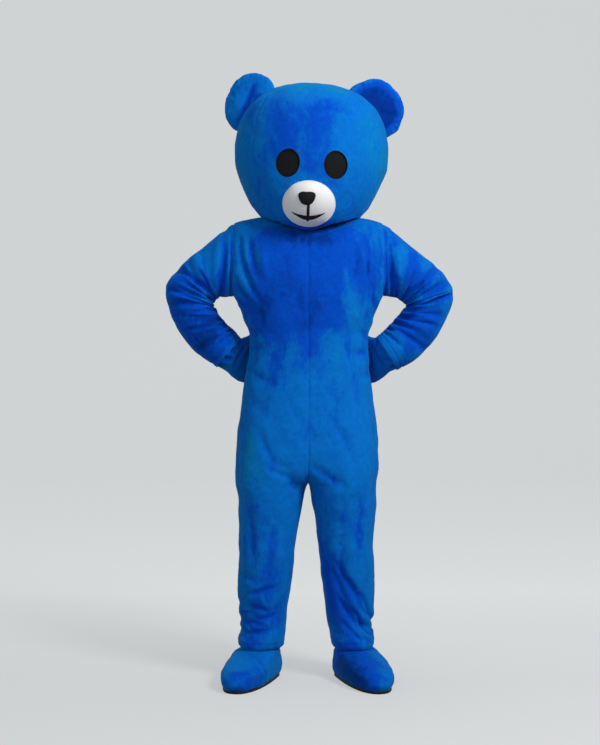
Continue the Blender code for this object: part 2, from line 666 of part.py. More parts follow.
def muzzle_depth(x, z):
    """The muzzle's front in head coordinates: a low dome on the face, round at its edge."""
    radius = np.hypot((x - MUZZLE_MIDDLE[0]) / MUZZLE_SIZE[0], (z - MUZZLE_MIDDLE[1]) / MUZZLE_SIZE[1])
    dome = MUZZLE_DOME * np.clip(1 - radius**2.2, 0, 1) ** 0.62
    return face_depth(x, z) - MUZZLE_EDGE - dome


def make_muzzle(look):
    """The padded oval on the lower face, cut to the face's own form behind."""
    x, z, _ = disc_grid(MUZZLE_MIDDLE, MUZZLE_SIZE, 5, 24)
    near = head_place(np.stack([x, muzzle_depth(x, z), z], -1))
    behind = head_place(np.stack([x, np.minimum(face_depth(x, z) + 0.02, -0.06), z], -1))
    return boolean(make_lens("muzzle", near, behind, look), bpy.data.objects["head_blank"])


def muzzle_blank():
    """The muzzle's front, out by a seam, for cutting the nose and the mouth."""
    x, z, _ = disc_grid(MUZZLE_MIDDLE, MUZZLE_SIZE, 5, 24)
    near = head_place(np.stack([x, muzzle_depth(x, z) - SEAM, z], -1))
    behind = head_place(np.stack([x, np.full_like(x, -0.05), z], -1))
    return as_cutter(make_lens("muzzle_blank", near, behind, bpy.data.materials["pale plush"]))


def nose_form(clear):
    """The nose's front and back grids: a padded triangle with round corners, wide above with a
    shallow dip and narrow below, grown all round by clear."""
    x, z, radius = disc_grid((0, 0), (1, 1), 3, 20)
    turn = np.arctan2(z, x)
    width = 0.86 + 0.20 * np.sin(turn) - 0.10 * np.cos(2 * turn)
    dip = 1 - 0.13 * np.exp(-(((turn - math.pi / 2) / 0.35) ** 2))
    x = NOSE_MIDDLE[0] + (NOSE_SIZE[0] + clear) * x * width
    z = NOSE_MIDDLE[1] + (NOSE_SIZE[1] + clear) * z * dip
    proud = 0.0015 + clear + NOSE_PROUD * np.sqrt(np.clip(1 - radius**3, 0, 1))
    near = head_place(np.stack([x, muzzle_depth(x, z) - proud, z], -1))
    behind = head_place(np.stack([x, muzzle_depth(x, z) + 0.008, z], -1))
    return near, behind


def make_nose(look):
    return boolean(make_lens("nose", *nose_form(0), look), bpy.data.objects["muzzle_blank"])


def mark(name, x, z, look):
    """A flat mark on the muzzle: a grid of places, from inside the muzzle to a little proud."""
    near = head_place(np.stack([x, muzzle_depth(x, z) - MARK_PROUD, z], -1))
    behind = head_place(np.stack([x, muzzle_depth(x, z) + 0.006, z], -1))
    return wall(name, near, behind, look)


def make_mouth(look):
    """A straight line down from the nose into a smile that is thickest in its middle."""
    along = np.linspace(-1, 1, 15)[None, :]
    across = np.array([-1, 0, 1])[:, None]
    x = MOUTH_X + SMILE_HALF_WIDTH * along + 0 * across
    middle = SMILE_BOTTOM + (SMILE_END - SMILE_BOTTOM) * np.abs(along) ** 1.8
    z = middle + across * (0.0006 + SMILE_THICK / 2 * (1 - np.abs(along) ** 1.3))
    mouth = mark("mouth", x, z, look)
    down = np.linspace(LINE_TOP, LINE_BOTTOM, 4)[:, None]
    sideways = np.array([-1, 0, 1])[None, :] * LINE_HALF
    line = as_cutter(mark("mouth_line", MOUTH_X + sideways + 0 * down, down + 0 * sideways, look))
    nose_blank = as_cutter(make_lens("nose_blank", *nose_form(2 * SEAM), look))
    boolean(mouth, line, "UNION")
    boolean(mouth, nose_blank)
    return boolean(mouth, bpy.data.objects["muzzle_blank"])


# The ears: round pads, cut to the head. Middle as x, y, z, then half width and half height, the
# turn about the upright axis and the lean sideways, in degrees
EARS = {
    "left": ((-0.1845, -0.002, 0.3955), (0.0865, 0.100), 20, 16),
    "right": ((0.2085, 0.030, 0.3805), (0.100, 0.101), 6, -30),
}
EAR_THICK = 0.052
EAR_DISH = 0.014  # how far an ear's middle lies behind its rim


def ear_form(side, facing):
    """One half of an ear between its padded face and the seam's dished middle sheet."""
    middle, size, turn, lean = EARS[side]
    x, z, radius = disc_grid((0, 0), size, 4, 24, 2.15)
    sheet = EAR_DISH * (1 - radius**2)
    way = -1 if facing == "front" else 1
    puff = EAR_THICK / 2 * np.sqrt(np.clip(1 - radius**2.6, 0, 1))
    near = np.stack([x, sheet + way * (SEAM / 2 + puff), z], -1)
    far = np.stack([x, sheet + way * SEAM / 2, z], -1)
    place = Matrix.Translation(middle) @ Matrix.Rotation(math.radians(turn * SIDES[side]), 4, "Z")
    place = np.array(place @ Matrix.Rotation(math.radians(lean), 4, "Y"))
    return [grid @ place[:3, :3].T + place[:3, 3] for grid in (near, far)]


def make_ear(side, facing, look):
    """Half an ear, cut away where the head is."""
    half = make_lens(f"ear_{side}_{facing}", *ear_form(side, facing), look)
    return boolean(half, bpy.data.objects["head_blank"])


# Mitts: past the cuff the hand turns in behind the waist and lies on the hip. Columns as for the
# sleeves, for the rows after the cuff's.
HAND_ROWS = np.array([
    (0.262, -0.456, 0.206, -0.350, 0.042, 0.055),
    (0.243, -0.474, 0.192, -0.353, 0.062, 0.049),
    (0.222, -0.489, 0.173, -0.360, 0.086, 0.042),
    (0.198, -0.494, 0.152, -0.371, 0.111, 0.036),
    (0.171, -0.492, 0.130, -0.382, 0.134, 0.031),
    (0.142, -0.483, 0.110, -0.395, 0.150, 0.027),
    (0.114, -0.468, 0.095, -0.412, 0.159, 0.020),
])
FINGER_END = (0.090, 0.163, -0.440)
MITT_PLACES = np.array([11, 11.5, 11.8, 12, 12.3, 12.9, 13.8, 14.6, 15.4, 16.2, 17.1, 18, 19])
MITT_COLUMNS = 14
THUMB = (14.6, 3.35, 0.030)  # its row, its angle and how far it stands out


def mitt_surface(side, place, angle):
    """The mitt's outer face: inside the sleeve it is the sleeve's own face, in by the cloth and a
    seam. Beyond the cuff it is an ellipse on each hand row, with the thumb's swelling."""
    tucked = sleeve_surface(side, np.minimum(place, CUFF_PLACE), angle)
    out = normals(lambda s, t: sleeve_surface(side, s, t), np.minimum(place, CUFF_PLACE - 0.05), angle)
    tucked = tucked + (CLOTH + 2 * SEAM) * out * SIDES[side]
    table = np.vstack([SLEEVE_ROWS[side][-2:], HAND_ROWS])
    rows = np.arange(len(table)) + CUFF_PLACE - 1
    over_x, over_z, under_x, under_z, middle_y, depth = (
        smooth(place, rows, column) for column in table.T
    )
    apart = (place - THUMB[0]) ** 2 / 0.8 + (angle - THUMB[1]) ** 2 / 0.3
    half = np.hypot(over_x - under_x, over_z - under_z) / 2
    swell = 1 + THUMB[2] * np.exp(-apart) / half
    lean = np.cos(angle) * swell
    x = (over_x + under_x) / 2 + (over_x - under_x) / 2 * lean
    z = (over_z + under_z) / 2 + (over_z - under_z) / 2 * lean
    hand = np.stack([SIDES[side] * x, middle_y - depth * np.sin(angle) * swell, z], -1)
    share = np.clip((place - CUFF_PLACE) / 1.1, 0, 1)[..., None]
    share = share**2 * (3 - 2 * share)
    return tucked * (1 - share) + hand * share


def make_mitt(side, look):
    """A plush mitt: open at the wrist, closed at the finger ends."""
    place = np.repeat(MITT_PLACES[:, None], MITT_COLUMNS, axis=1)
    turn = np.linspace(0, 2 * math.pi, MITT_COLUMNS, endpoint=False)
    angle = np.repeat(turn[None, :], len(place), axis=0)

    def surface(s, t):
        return mitt_surface(side, s, t)

    outer = surface(place, angle)
    out = normals(surface, np.clip(place, 11.05, 18.9), angle) * -SIDES[side]
    inner = outer - CLOTH * out
    tip = np.array([SIDES[side] * FINGER_END[0], *FINGER_END[1:]])
    ahead = tip - outer[-1].mean(axis=0)
    inner_tip = tip - ahead / np.linalg.norm(ahead) * CLOTH * 1.5
    count = outer.shape[0] * MITT_COLUMNS
    points = np.vstack([outer.reshape(-1, 3), inner.reshape(-1, 3), tip, inner_tip])
    rows = len(place)
    faces = grid_faces(rows, MITT_COLUMNS, True).tolist()
    faces += grid_faces(rows, MITT_COLUMNS, True, count)[:, ::-1].tolist()
    ring = np.arange(MITT_COLUMNS)
    last = ring + (rows - 1) * MITT_COLUMNS
    for a, b, c, d in zip(ring, np.roll(ring, -1), last, np.roll(last, -1)):
        faces += [(a, b, b + count, a + count), (c, d, 2 * count), (d + count, c + count, 2 * count + 1)]
    return add_mesh(f"glove_{side}", points, faces, look)


# Boots: the ankle's place, the turn outwards, and rows of the upper. The sole is one flat plate.
ANKLES = {"left": (0.166, 0.020), "right": (0.158, 0.020)}
TOE_OUT = 13
SOLE = 0.010
SOLE_PROUD = 0.002
# height over the floor, toe and heel from the ankle, half width, share of the trouser leg's ring
BOOT = np.array([
    (0.0103, 0.264, 0.076, 0.071, 0.00),
    (0.0250, 0.270, 0.080, 0.076, 0.00),
    (0.0420, 0.264, 0.080, 0.077, 0.00),
    (0.0580, 0.244, 0.078, 0.075, 0.06),
    (0.0720, 0.208, 0.076, 0.073, 0.22),
    (0.0830, 0.166, 0.075, 0.072, 0.48),
    (0.0910, 0.132, 0.075, 0.072, 0.76),
    (0.0965, 0.100, 0.078, 0.067, 0.99),
    (0.1000, 0.095, 0.078, 0.067, 1.00),
    (0.1120, 0.090, 0.078, 0.067, 1.00),
    (0.1300, 0.090, 0.078, 0.067, 1.00),
])
BOOT_ROWS = np.array([0.0103, 0.025, 0.042, 0.057, 0.070, 0.081, 0.090, 0.0965, 0.130])
BOOT_COLUMNS = 28
TOE_POWER = 2.35


def foot_ring(side, toe, heel, half, angle):
    """A footprint oval about the ankle, its toe turned outwards: x outwards and y."""
    ankle_x, ankle_y = ANKLES[side]
    turned = angle - math.radians(TOE_OUT)
    ahead = -np.sin(turned)
    reach = np.where(ahead > 0, toe, heel)
    along = reach * power(ahead, 2 / TOE_POWER)
    across = half * power(np.cos(turned), 2 / TOE_POWER)
    turn = math.radians(TOE_OUT)
    x = ankle_x + across * math.cos(turn) + along * math.sin(turn)
    y = ankle_y + across * math.sin(turn) - along * math.cos(turn)
    return x, y


def inside_hem(side, height, corner):
    """The trouser hem's corner of that count, in by the cloth and a seam, at a boot's height."""
    level = np.full_like(height, HEM + 0.001)
    angle = corner * math.pi / SUIT_COLUMNS
    place = suit_surface(side, level, angle)
    out = normals(lambda s, t: suit_surface(side, s, t), level, angle) * -SIDES[side]
    out[..., 2] = 0
    out = out / np.linalg.norm(out, axis=-1, keepdims=True)
    place = place - (CLOTH * 1.45 + SEAM) * out
    place[..., 2] = height + FLOOR
    return place


def boot_surface(side, height, angle):
    """The boot upper's outer face: footprint ovals that draw in over the instep and become a
    tube within the trouser hem's own faceted ring."""
    toe, heel, half, leg = (smooth(height, BOOT[:, 0], column) for column in BOOT.T[1:])
    x, y = foot_ring(side, toe, heel, half, angle)
    foot = np.stack([SIDES[side] * x, y, height + FLOOR], -1)
    turns = angle * SUIT_COLUMNS / math.pi
    corner = np.floor(turns + 1e-6)
    between = (turns - corner)[..., None]
    ring = inside_hem(side, height, corner) * (1 - between)
    ring = ring + inside_hem(side, height, corner + 1) * between
    return foot * (1 - leg[..., None]) + ring * leg[..., None]


def make_boot(side, look, sole_look):
    height = np.repeat(BOOT_ROWS[:, None], BOOT_COLUMNS, axis=1)
    turn = np.linspace(-math.pi, math.pi, BOOT_COLUMNS, endpoint=False)
    angle = np.repeat(turn[None, :], len(height), axis=0)

    def surface(s, t):
        return boot_surface(side, s, t)

    outer = surface(height, angle)
    out = normals(surface, np.clip(height, 0.012, 0.129), angle) * -SIDES[side]
    inner = outer - CLOTH * out
    inner[..., 2] = np.maximum(inner[..., 2], FLOOR + SOLE + SEAM)
    wall(f"boot_{side}_upper", outer, inner, look, closed=True)
    toe, heel, half = BOOT[0, 1:4] + SOLE_PROUD
    turn = np.linspace(-math.pi, math.pi, 36, endpoint=False)
    x, y = foot_ring(side, toe, heel, half, turn)
    rings = [np.stack([SIDES[side] * x, y, np.full_like(x, FLOOR + up)], -1) for up in (0, SOLE)]
    ring = np.arange(len(turn))
    sides = np.stack([ring, np.roll(ring, -1), np.roll(ring, -1) + len(ring), ring + len(ring)], -1)
    faces = [*sides, ring, ring[::-1] + len(ring)]
    return add_mesh(f"boot_{side}_sole", np.vstack(rings), faces, sole_look)


# The zip down the centre back, closed, with its slider at the top and the pull hanging
ZIP_TOP, ZIP_BOTTOM = -0.045, -0.530
TAPE_HALF, TAPE_THICK = 0.009, 0.0012
CHAIN_HALF, CHAIN_PROUD = 0.003, 0.0027
SLIDER_HEIGHT = -0.080
PULL_AXIS = (0.0072, 0.0040)  # outwards and up from the slider's middle on the cloth


def back_line(height):
    """The centre-back seam on the suit's outer face, and the way out of the cloth there."""
    angle = suit_ring("right", height)[6]
    place = suit_surface("right", height, angle)
    place[..., 0] = 0
    along = np.gradient(place, axis=0)
    out = np.stack([0 * height, along[:, 2], -along[:, 1]], -1)
    out = out / np.linalg.norm(out, axis=-1, keepdims=True)
    return place, out * np.sign(out[:, 1:2])


def make_zip_tape(look):
    """Tape with the closed chain as a ridge on it, a seam clear of the cloth."""
    inside = (SUIT_ROWS > ZIP_BOTTOM) & (SUIT_ROWS < ZIP_TOP)
    height = np.concatenate([[ZIP_BOTTOM], SUIT_ROWS[inside], [ZIP_TOP]])
    place, out = back_line(height)
    profile = np.array([
        (-TAPE_HALF, SEAM), (TAPE_HALF, SEAM), (TAPE_HALF, TAPE_THICK), (CHAIN_HALF, TAPE_THICK),
        (CHAIN_HALF, CHAIN_PROUD), (-CHAIN_HALF, CHAIN_PROUD), (-CHAIN_HALF, TAPE_THICK),
        (-TAPE_HALF, TAPE_THICK),
    ])
    grid = place[:, None, :] + out[:, None, :] * profile[None, :, 1:2]
    grid[..., 0] += profile[None, :, 0]
    count = len(profile)
    faces = grid_faces(len(height), count, True).tolist()
    faces += [np.arange(count)[::-1], np.arange(count) + (len(height) - 1) * count]
    return add_mesh("zip_tape", grid.reshape(-1, 3), faces, look, 20)


def slider_frame():
    """The slider's own axes: x across, y out of the cloth, z up along the seam."""
    place, out = back_line(np.array([SLIDER_HEIGHT - 0.01, SLIDER_HEIGHT, SLIDER_HEIGHT + 0.01]))
    out = Vector(out[1])
    across = Vector((1, 0, 0))
    turned = Matrix((across, out, across.cross(out))).transposed().to_4x4()
    return Matrix.Translation(Vector(place[1])) @ turned


def move_to_costume(part):
    """Takes a new primitive out of the scene's own collection and into the costume's."""
    for home in list(part.users_collection):
        home.objects.unlink(part)
    bpy.data.collections["bear_costume"].objects.link(part)


def box(name, low, high, look, bevel=0.0):
    """A box between two corners in the slider's axes, with its edges rounded by bevel."""
    bpy.ops.mesh.primitive_cube_add(size=1)
    made = bpy.context.object
    made.name = made.data.name = name
    size = Vector(high) - Vector(low)
    middle = (Vector(high) + Vector(low)) / 2
    made.data.transform(Matrix.Translation(middle) @ Matrix.Diagonal((*size, 1)))
    made.matrix_world = slider_frame()
    made.data.materials.append(look)
    move_to_costume(made)
    if bevel:
        rounded = made.modifiers.new("rounded edges", "BEVEL")
        rounded.width = bevel
        rounded.segments = 1
    return made


def make_slider(look):
    """The slider's body with the bridge that carries the pull."""
    slider = box("zip_slider", (-0.0062, 0.0030, -0.0090), (0.0062, 0.0060, 0.0090), look, 0.0008)
    posts = [
        ("bridge_low", (-0.0012, 0.0050, -0.0060), (0.0012, 0.0096, -0.0042)),
        ("bridge_high", (-0.0012, 0.0050, 0.0056), (0.0012, 0.0096, 0.0074)),
        ("bridge_top", (-0.0012, 0.0084, -0.0060), (0.0012, 0.0096, 0.0074)),
    ]
    for name, low, high in posts:
        boolean(slider, as_cutter(box(name, low, high, look)), "UNION")
    return slider


def make_pull(look):
    """The pull: a rod under the bridge, two arms beside it and a tab hanging from them."""
    out, up = PULL_AXIS
    half = 0.0008
    tab = box("zip_pull", (-0.0045, out - half, up - 0.037), (0.0045, out + half, up - 0.0125), look, 0.0004)
    for name, side in SIDES.items():
        near, far = sorted((0.0020 * side, 0.0036 * side))
        low, high = (near, out - half, up - 0.0135), (far, out + half, up)
        boolean(tab, as_cutter(box(f"pull_arm_{name}", low, high, look)), "UNION")
    bpy.ops.mesh.primitive_cylinder_add(vertices=12, radius=half, depth=0.0072)
    rod = bpy.context.object
    rod.name = rod.data.name = "pull_rod"
    rod.data.transform(Matrix.Translation((0, out, up)) @ Matrix.Rotation(math.pi / 2, 4, "Y"))
    rod.matrix_world = slider_frame()
    rod.data.materials.append(look)
    move_to_costume(rod)
    return boolean(tab, as_cutter(rod), "UNION")


def main():
    clear_scene()
    for name in ("bear_costume", "cutters"):
        collection = bpy.data.collections.new(name)
        bpy.context.scene.collection.children.link(collection)
    plush = material("blue plush", (0.004, 0.09, 0.45), 0.9)
    pale = material("pale plush", (0.72, 0.73, 0.74), 0.85)
    black = material("black", (0.012, 0.013, 0.014), 0.6)
    rubber = material("black rubber", (0.02, 0.02, 0.022), 0.7)
    navy = material("navy tape", (0.006, 0.03, 0.14), 0.8)
    metal = material("metal", (0.55, 0.56, 0.58), 0.3, 1.0)
    for side in SIDES:
        for facing in ("front", "back"):
            make_suit_panel(f"suit_{facing}_{side}", side, facing, plush)
        make_sleeve(side, plush)
        make_mitt(side, plush)
        make_boot(side, plush, rubber)
    for name, (start, stop, columns) in GORES.items():
        make_gore(name, start, stop, columns, plush)
    head_blank(SEAM)
    muzzle_blank()
    for side in SIDES:
        boolean(bpy.data.objects["head_face"], eye_hole(side))
        make_eye(side, black)
        for facing in ("front", "back"):
            make_ear(side, facing, plush)
    make_muzzle(pale)
    make_nose(black)
    make_mouth(black)
    make_zip_tape(navy)
    make_slider(metal)
    make_pull(metal)


main()
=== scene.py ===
"""The looks of a worn bear costume: short plush over its solids, padded ears, face and zip.

Metres, +Z up, the front towards -Y. Every cloth piece is a grid of points from a function of two
parameters, the same one that its solid was made from, on a much finer grid. Relief is then added
along the surface's own normals: creases, sewn seams, and the clumps of the pile.
"""

import math

import bmesh
import bpy
import numpy as np
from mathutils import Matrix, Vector


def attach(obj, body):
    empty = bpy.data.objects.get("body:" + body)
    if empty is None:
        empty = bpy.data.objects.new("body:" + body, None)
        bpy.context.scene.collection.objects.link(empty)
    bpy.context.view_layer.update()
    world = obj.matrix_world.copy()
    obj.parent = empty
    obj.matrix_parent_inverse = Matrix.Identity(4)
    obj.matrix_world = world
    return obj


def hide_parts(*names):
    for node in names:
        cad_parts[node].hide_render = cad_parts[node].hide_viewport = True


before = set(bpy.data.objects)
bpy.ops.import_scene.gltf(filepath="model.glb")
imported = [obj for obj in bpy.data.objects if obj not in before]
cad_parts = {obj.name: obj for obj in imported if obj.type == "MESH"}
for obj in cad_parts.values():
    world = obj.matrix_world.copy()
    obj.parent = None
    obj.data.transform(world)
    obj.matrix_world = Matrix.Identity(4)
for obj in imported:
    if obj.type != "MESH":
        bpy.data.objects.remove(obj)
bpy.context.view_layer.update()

# Driving sizes
FLOOR = -1.430  # the floor, below the shoulders
CLOTH = 0.003  # short-pile plush with its backing
SHELL = 0.008  # plush over foam, on the head
SEAM = 0.0003  # the gap between two sewn solids
SIDES = {"left": -1, "right": 1}

# The suit's body
HEM = FLOOR + 0.098
CROTCH = -0.810
ARMPIT = -0.215
SHOULDER_TIP = 0.010
NECK = 0.035
ARMHOLE_X = 0.235
BODY_POWER = 2.4  # 2 is an ellipse, more is squarer
LEG_POWER = 2.15
NECK_DIP_FRONT = 0.045
NECK_DIP_BACK = 0.018
SUIT_COLUMNS = 7  # faces round a quarter of the suit in the solids, which the boots' tubes follow

# height, half width left, half width right, middle of the depth, half depth
BODY = np.array([
    (0.035, 0.120, 0.120, 0.004, 0.085),
    (0.028, 0.165, 0.165, 0.003, 0.090),
    (0.020, 0.205, 0.205, 0.002, 0.096),
    (0.010, 0.235, 0.235, 0.001, 0.102),
    (0.000, 0.247, 0.247, 0.000, 0.107),
    (-0.030, 0.259, 0.259, -0.002, 0.119),
    (-0.080, 0.263, 0.263, -0.004, 0.132),
    (-0.130, 0.259, 0.259, -0.006, 0.140),
    (-0.180, 0.249, 0.250, -0.007, 0.144),
    (-0.215, 0.235, 0.235, -0.008, 0.144),
    (-0.240, 0.221, 0.225, -0.009, 0.142),
    (-0.290, 0.203, 0.206, -0.010, 0.136),
    (-0.350, 0.184, 0.189, -0.010, 0.129),
    (-0.400, 0.184, 0.189, -0.008, 0.128),
    (-0.450, 0.196, 0.194, -0.005, 0.132),
    (-0.520, 0.205, 0.202, 0.000, 0.139),
    (-0.600, 0.216, 0.212, 0.003, 0.145),
    (-0.700, 0.226, 0.220, 0.004, 0.147),
    (-0.760, 0.229, 0.220, 0.004, 0.145),
    (-0.810, 0.230, 0.214, 0.003, 0.139),
    (-0.870, 0.219, 0.214, 0.000, 0.126),
    (-0.920, 0.219, 0.211, -0.002, 0.115),
    (-1.000, 0.217, 0.202, -0.006, 0.101),
    (-1.080, 0.219, 0.209, 0.002, 0.097),
    (-1.160, 0.222, 0.208, 0.011, 0.093),
    (-1.220, 0.223, 0.207, 0.015, 0.088),
    (-1.262, 0.219, 0.201, 0.016, 0.084),
    (-1.285, 0.216, 0.208, 0.015, 0.084),
    (-1.306, 0.223, 0.210, 0.013, 0.085),
    (-1.322, 0.221, 0.208, 0.012, 0.082),
    (-1.332, 0.214, 0.203, 0.012, 0.077),
])

# height, the ring's middle as a share of its half width, and how near the centre plane is to the
# leg's inner edge: 1 at the crotch, where the legs part, and 0 where they are one body ring
RISE = np.array([
    (-0.810, 0.500, 1.00),
    (-0.800, 0.485, 0.83),
    (-0.785, 0.455, 0.66),
    (-0.765, 0.415, 0.49),
    (-0.735, 0.350, 0.33),
    (-0.700, 0.270, 0.20),
    (-0.650, 0.155, 0.09),
    (-0.600, 0.060, 0.03),
    (-0.540, 0.000, 0.00),
    (0.035, 0.000, 0.00),
])

# height, inside-leg edge left, inside-leg edge right, as distances from the middle
INSIDE_LEG = np.array([
    (-0.810, 0.0003, 0.0003),
    (-0.826, 0.0090, 0.0070),
    (-0.870, 0.0190, 0.0130),
    (-0.920, 0.0290, 0.0240),
    (-1.000, 0.0420, 0.0340),
    (-1.080, 0.0500, 0.0420),
    (-1.160, 0.0610, 0.0510),
    (-1.220, 0.0700, 0.0580),
    (-1.262, 0.0740, 0.0640),
    (-1.285, 0.0750, 0.0700),
    (-1.306, 0.0780, 0.0730),
    (-1.322, 0.0800, 0.0760),
    (-1.332, 0.0900, 0.0830),
])


def smooth(at, places, values):
    """A smooth line through a table: a cubic between rows, with each slope from the neighbours."""
    order = np.argsort(places)
    x, y = np.asarray(places, float)[order], np.asarray(values, float)[order]
    step = np.diff(x)
    rise = np.diff(y) / step
    slope = np.concatenate([[rise[0]], np.zeros(len(x) - 2), [rise[-1]]])
    same_way = rise[:-1] * rise[1:] > 0
    mean = 2 * rise[:-1] * rise[1:] / np.where(same_way, rise[:-1] + rise[1:], 1)
    slope[1:-1] = np.where(same_way, mean, 0)
    at = np.clip(at, x[0], x[-1])
    i = np.clip(np.searchsorted(x, at) - 1, 0, len(x) - 2)
    t = (at - x[i]) / step[i]
    ends = y[i] * (1 + 2 * t) * (1 - t) ** 2 + y[i + 1] * t**2 * (3 - 2 * t)
    return ends + step[i] * (slope[i] * t * (1 - t) ** 2 - slope[i + 1] * t**2 * (1 - t))


def power(value, exponent):
    """The value to a power, keeping its sign."""
    return np.sign(value) * np.abs(value) ** exponent


def ease(share):
    """A share from 0 to 1 with soft ends: three times its square less twice its cube."""
    return share**2 * (3 - 2 * share)


def sixths(angle):
    """An angle round a limb in units of 60 degrees, from -3 to 3."""
    return ((angle + math.pi) % (2 * math.pi) - math.pi) * 3 / math.pi


def unit(vectors):
    """The vectors at a length of 1."""
    return vectors / np.maximum(np.linalg.norm(vectors, axis=-1, keepdims=True), 1e-12)


def normals(surface, s, t, reach=1e-4):
    """The cross product of how fast the surface moves along each of its two parameters, taken over
    a short reach to either side, at unit length."""
    along_s = (surface(s + reach, t) - surface(s - reach, t)) / (2 * reach)
    along_t = (surface(s, t + reach) - surface(s, t - reach)) / (2 * reach)
    return unit(np.cross(along_s, along_t))


def turned(points, degrees, axis):
    """Points turned about an axis through the origin, 0 for x, 1 for y and 2 for z."""
    c, s = math.cos(math.radians(degrees)), math.sin(math.radians(degrees))
    a, b = [number for number in range(3) if number != axis]
    if axis == 1:
        s = -s
    result = points.copy()
    result[..., a] = points[..., a] * c - points[..., b] * s
    result[..., b] = points[..., a] * s + points[..., b] * c
    return result


def folds(along, across, table):
    """The depth of all folds at a place. Each row of the table is one trough (depth over 0) or
    ridge: its middle, its turn in degrees, its half length, half width and depth. It is a rounded
    bar that fades out at both ends."""
    total = np.zeros(np.broadcast(along, across).shape)
    for middle_along, middle_across, turn, half_length, half_width, depth in table:
        a, b = along - middle_along, across - middle_across
        c, s = math.cos(math.radians(turn)), math.sin(math.radians(turn))
        length, width = (a * c + b * s) / half_length, (b * c - a * s) / half_width
        total -= depth * np.exp(-(length**4) - width**2)
    return total


# Suit folds, as places on the cloth: arc from the outside seam (minus is the front) and height.
# arc, height, turn, half length, half width, depth
SUIT_FOLDS = {
    "left": [
        (-0.060, -1.196, 4, 0.080, 0.012, 0.006),
        (-0.080, -1.236, -8, 0.085, 0.013, 0.007),
        (-0.040, -1.280, 6, 0.070, 0.010, 0.007),
        (-0.100, -1.262, 22, 0.050, 0.012, 0.006),
        (0.070, -1.205, 5, 0.080, 0.013, 0.007),
        (0.050, -1.250, -10, 0.080, 0.012, 0.007),
        (0.090, -1.020, 12, 0.070, 0.016, 0.006),
        (-0.030, -0.890, 82, 0.080, 0.014, 0.005),
        (-0.135, -0.120, 80, 0.070, 0.013, 0.006),
        (-0.090, -0.170, 70, 0.060, 0.014, 0.009),
        (0.120, -0.130, -78, 0.080, 0.014, 0.008),
        (0.080, -0.420, 8, 0.080, 0.016, 0.007),
    ],
    "right": [
        (-0.190, -1.150, 118, 0.100, 0.015, 0.007),
        (-0.150, -1.240, 128, 0.070, 0.014, 0.008),
        (-0.060, -1.268, 160, 0.060, 0.011, 0.009),
        (0.000, -1.250, 175, 0.050, 0.010, 0.006),
        (0.070, -1.215, -6, 0.080, 0.013, 0.007),
        (0.060, -1.262, 8, 0.070, 0.011, 0.006),
        (0.090, -1.010, -12, 0.070, 0.016, 0.006),
        (-0.050, -0.900, 100, 0.110, 0.016, 0.006),
        (-0.135, -0.110, 96, 0.080, 0.013, 0.007),
        (-0.090, -0.165, 112, 0.060, 0.014, 0.009),
        (0.120, -0.130, 78, 0.080, 0.014, 0.008),
        (0.080, -0.430, -8, 0.080, 0.016, 0.007),
    ],
}


def suit_ring(side, height):
    """Half the suit's ring at each height, as middle x, half widths outwards and inwards, middle y,
    half depth, power and the angle at which it meets the centre plane or the inside-leg seam."""
    column = 1 if side == "left" else 2
    outer = smooth(height, BODY[:, 0], BODY[:, column])
    inside = smooth(height, INSIDE_LEG[:, 0], INSIDE_LEG[:, column])
    share = smooth(height, RISE[:, 0], RISE[:, 2])
    joined = height > CROTCH
    middle_x = np.where(joined, outer * smooth(height, RISE[:, 0], RISE[:, 1]), (outer + inside) / 2)
    wide_in = np.where(middle_x > 1e-6, middle_x / np.maximum(share, 0.02), outer)
    half_in = np.where(joined, wide_in, middle_x - inside)
    middle_y = smooth(height, BODY[:, 0], BODY[:, 3])
    depth = smooth(height, BODY[:, 0], BODY[:, 4])
    exponent = smooth(height, [HEM, CROTCH, -0.60, NECK], [LEG_POWER, 2.3, BODY_POWER, BODY_POWER])
    end = np.arccos(-((middle_x / wide_in) ** (exponent / 2)))
    return middle_x, outer - middle_x, half_in, middle_y, depth, exponent, np.where(joined, end, np.pi)


def arc_round(height, angle):
    """The length round the cloth from the side seam to an angle."""
    return angle * smooth(height, [HEM, -0.87, -0.60, NECK], [0.10, 0.11, 0.19, 0.19])


def armhole_angle(side, height):
    """The angle from the side seam at which the armhole's plane cuts the ring, 0 outside it."""
    middle_x, half, _, _, _, exponent, _ = suit_ring(side, height)
    share = np.clip((ARMHOLE_X - middle_x) / half, 0, 1)
    inside = (height > ARMPIT) & (height < SHOULDER_TIP)
    return np.where(inside, np.arccos(share ** (exponent / 2)), 0)


def suit_surface(side, height, angle):
    """The suit's outer face: a squarish ellipse at each height, the angle measured from the side
    seam, less at the front. The neck rows dip towards the middle, and folds press it inwards."""
    middle_x, half_out, half_in, middle_y, depth, exponent, end = suit_ring(side, height)
    pressed = folds(arc_round(height, angle), height, SUIT_FOLDS[side])
    pressed = pressed * ease(np.clip((end - np.abs(angle)) / 0.35, 0, 1))
    inwards = 1 + pressed / np.hypot(half_out * np.cos(angle), depth * np.sin(angle))
    half = np.where(np.cos(angle) > 0, half_out, half_in)
    x = middle_x + half * inwards * power(np.cos(angle), 2 / exponent)
    y = middle_y + depth * inwards * power(np.sin(angle), 2 / exponent)
    rising = np.clip((height + 0.09) / (NECK + 0.09), 0, 1) ** 2
    dip = np.where(angle < 0, NECK_DIP_FRONT, NECK_DIP_BACK) * rising * np.sin(angle) ** 2
    return np.stack([SIDES[side] * x, y, height - dip], axis=-1)


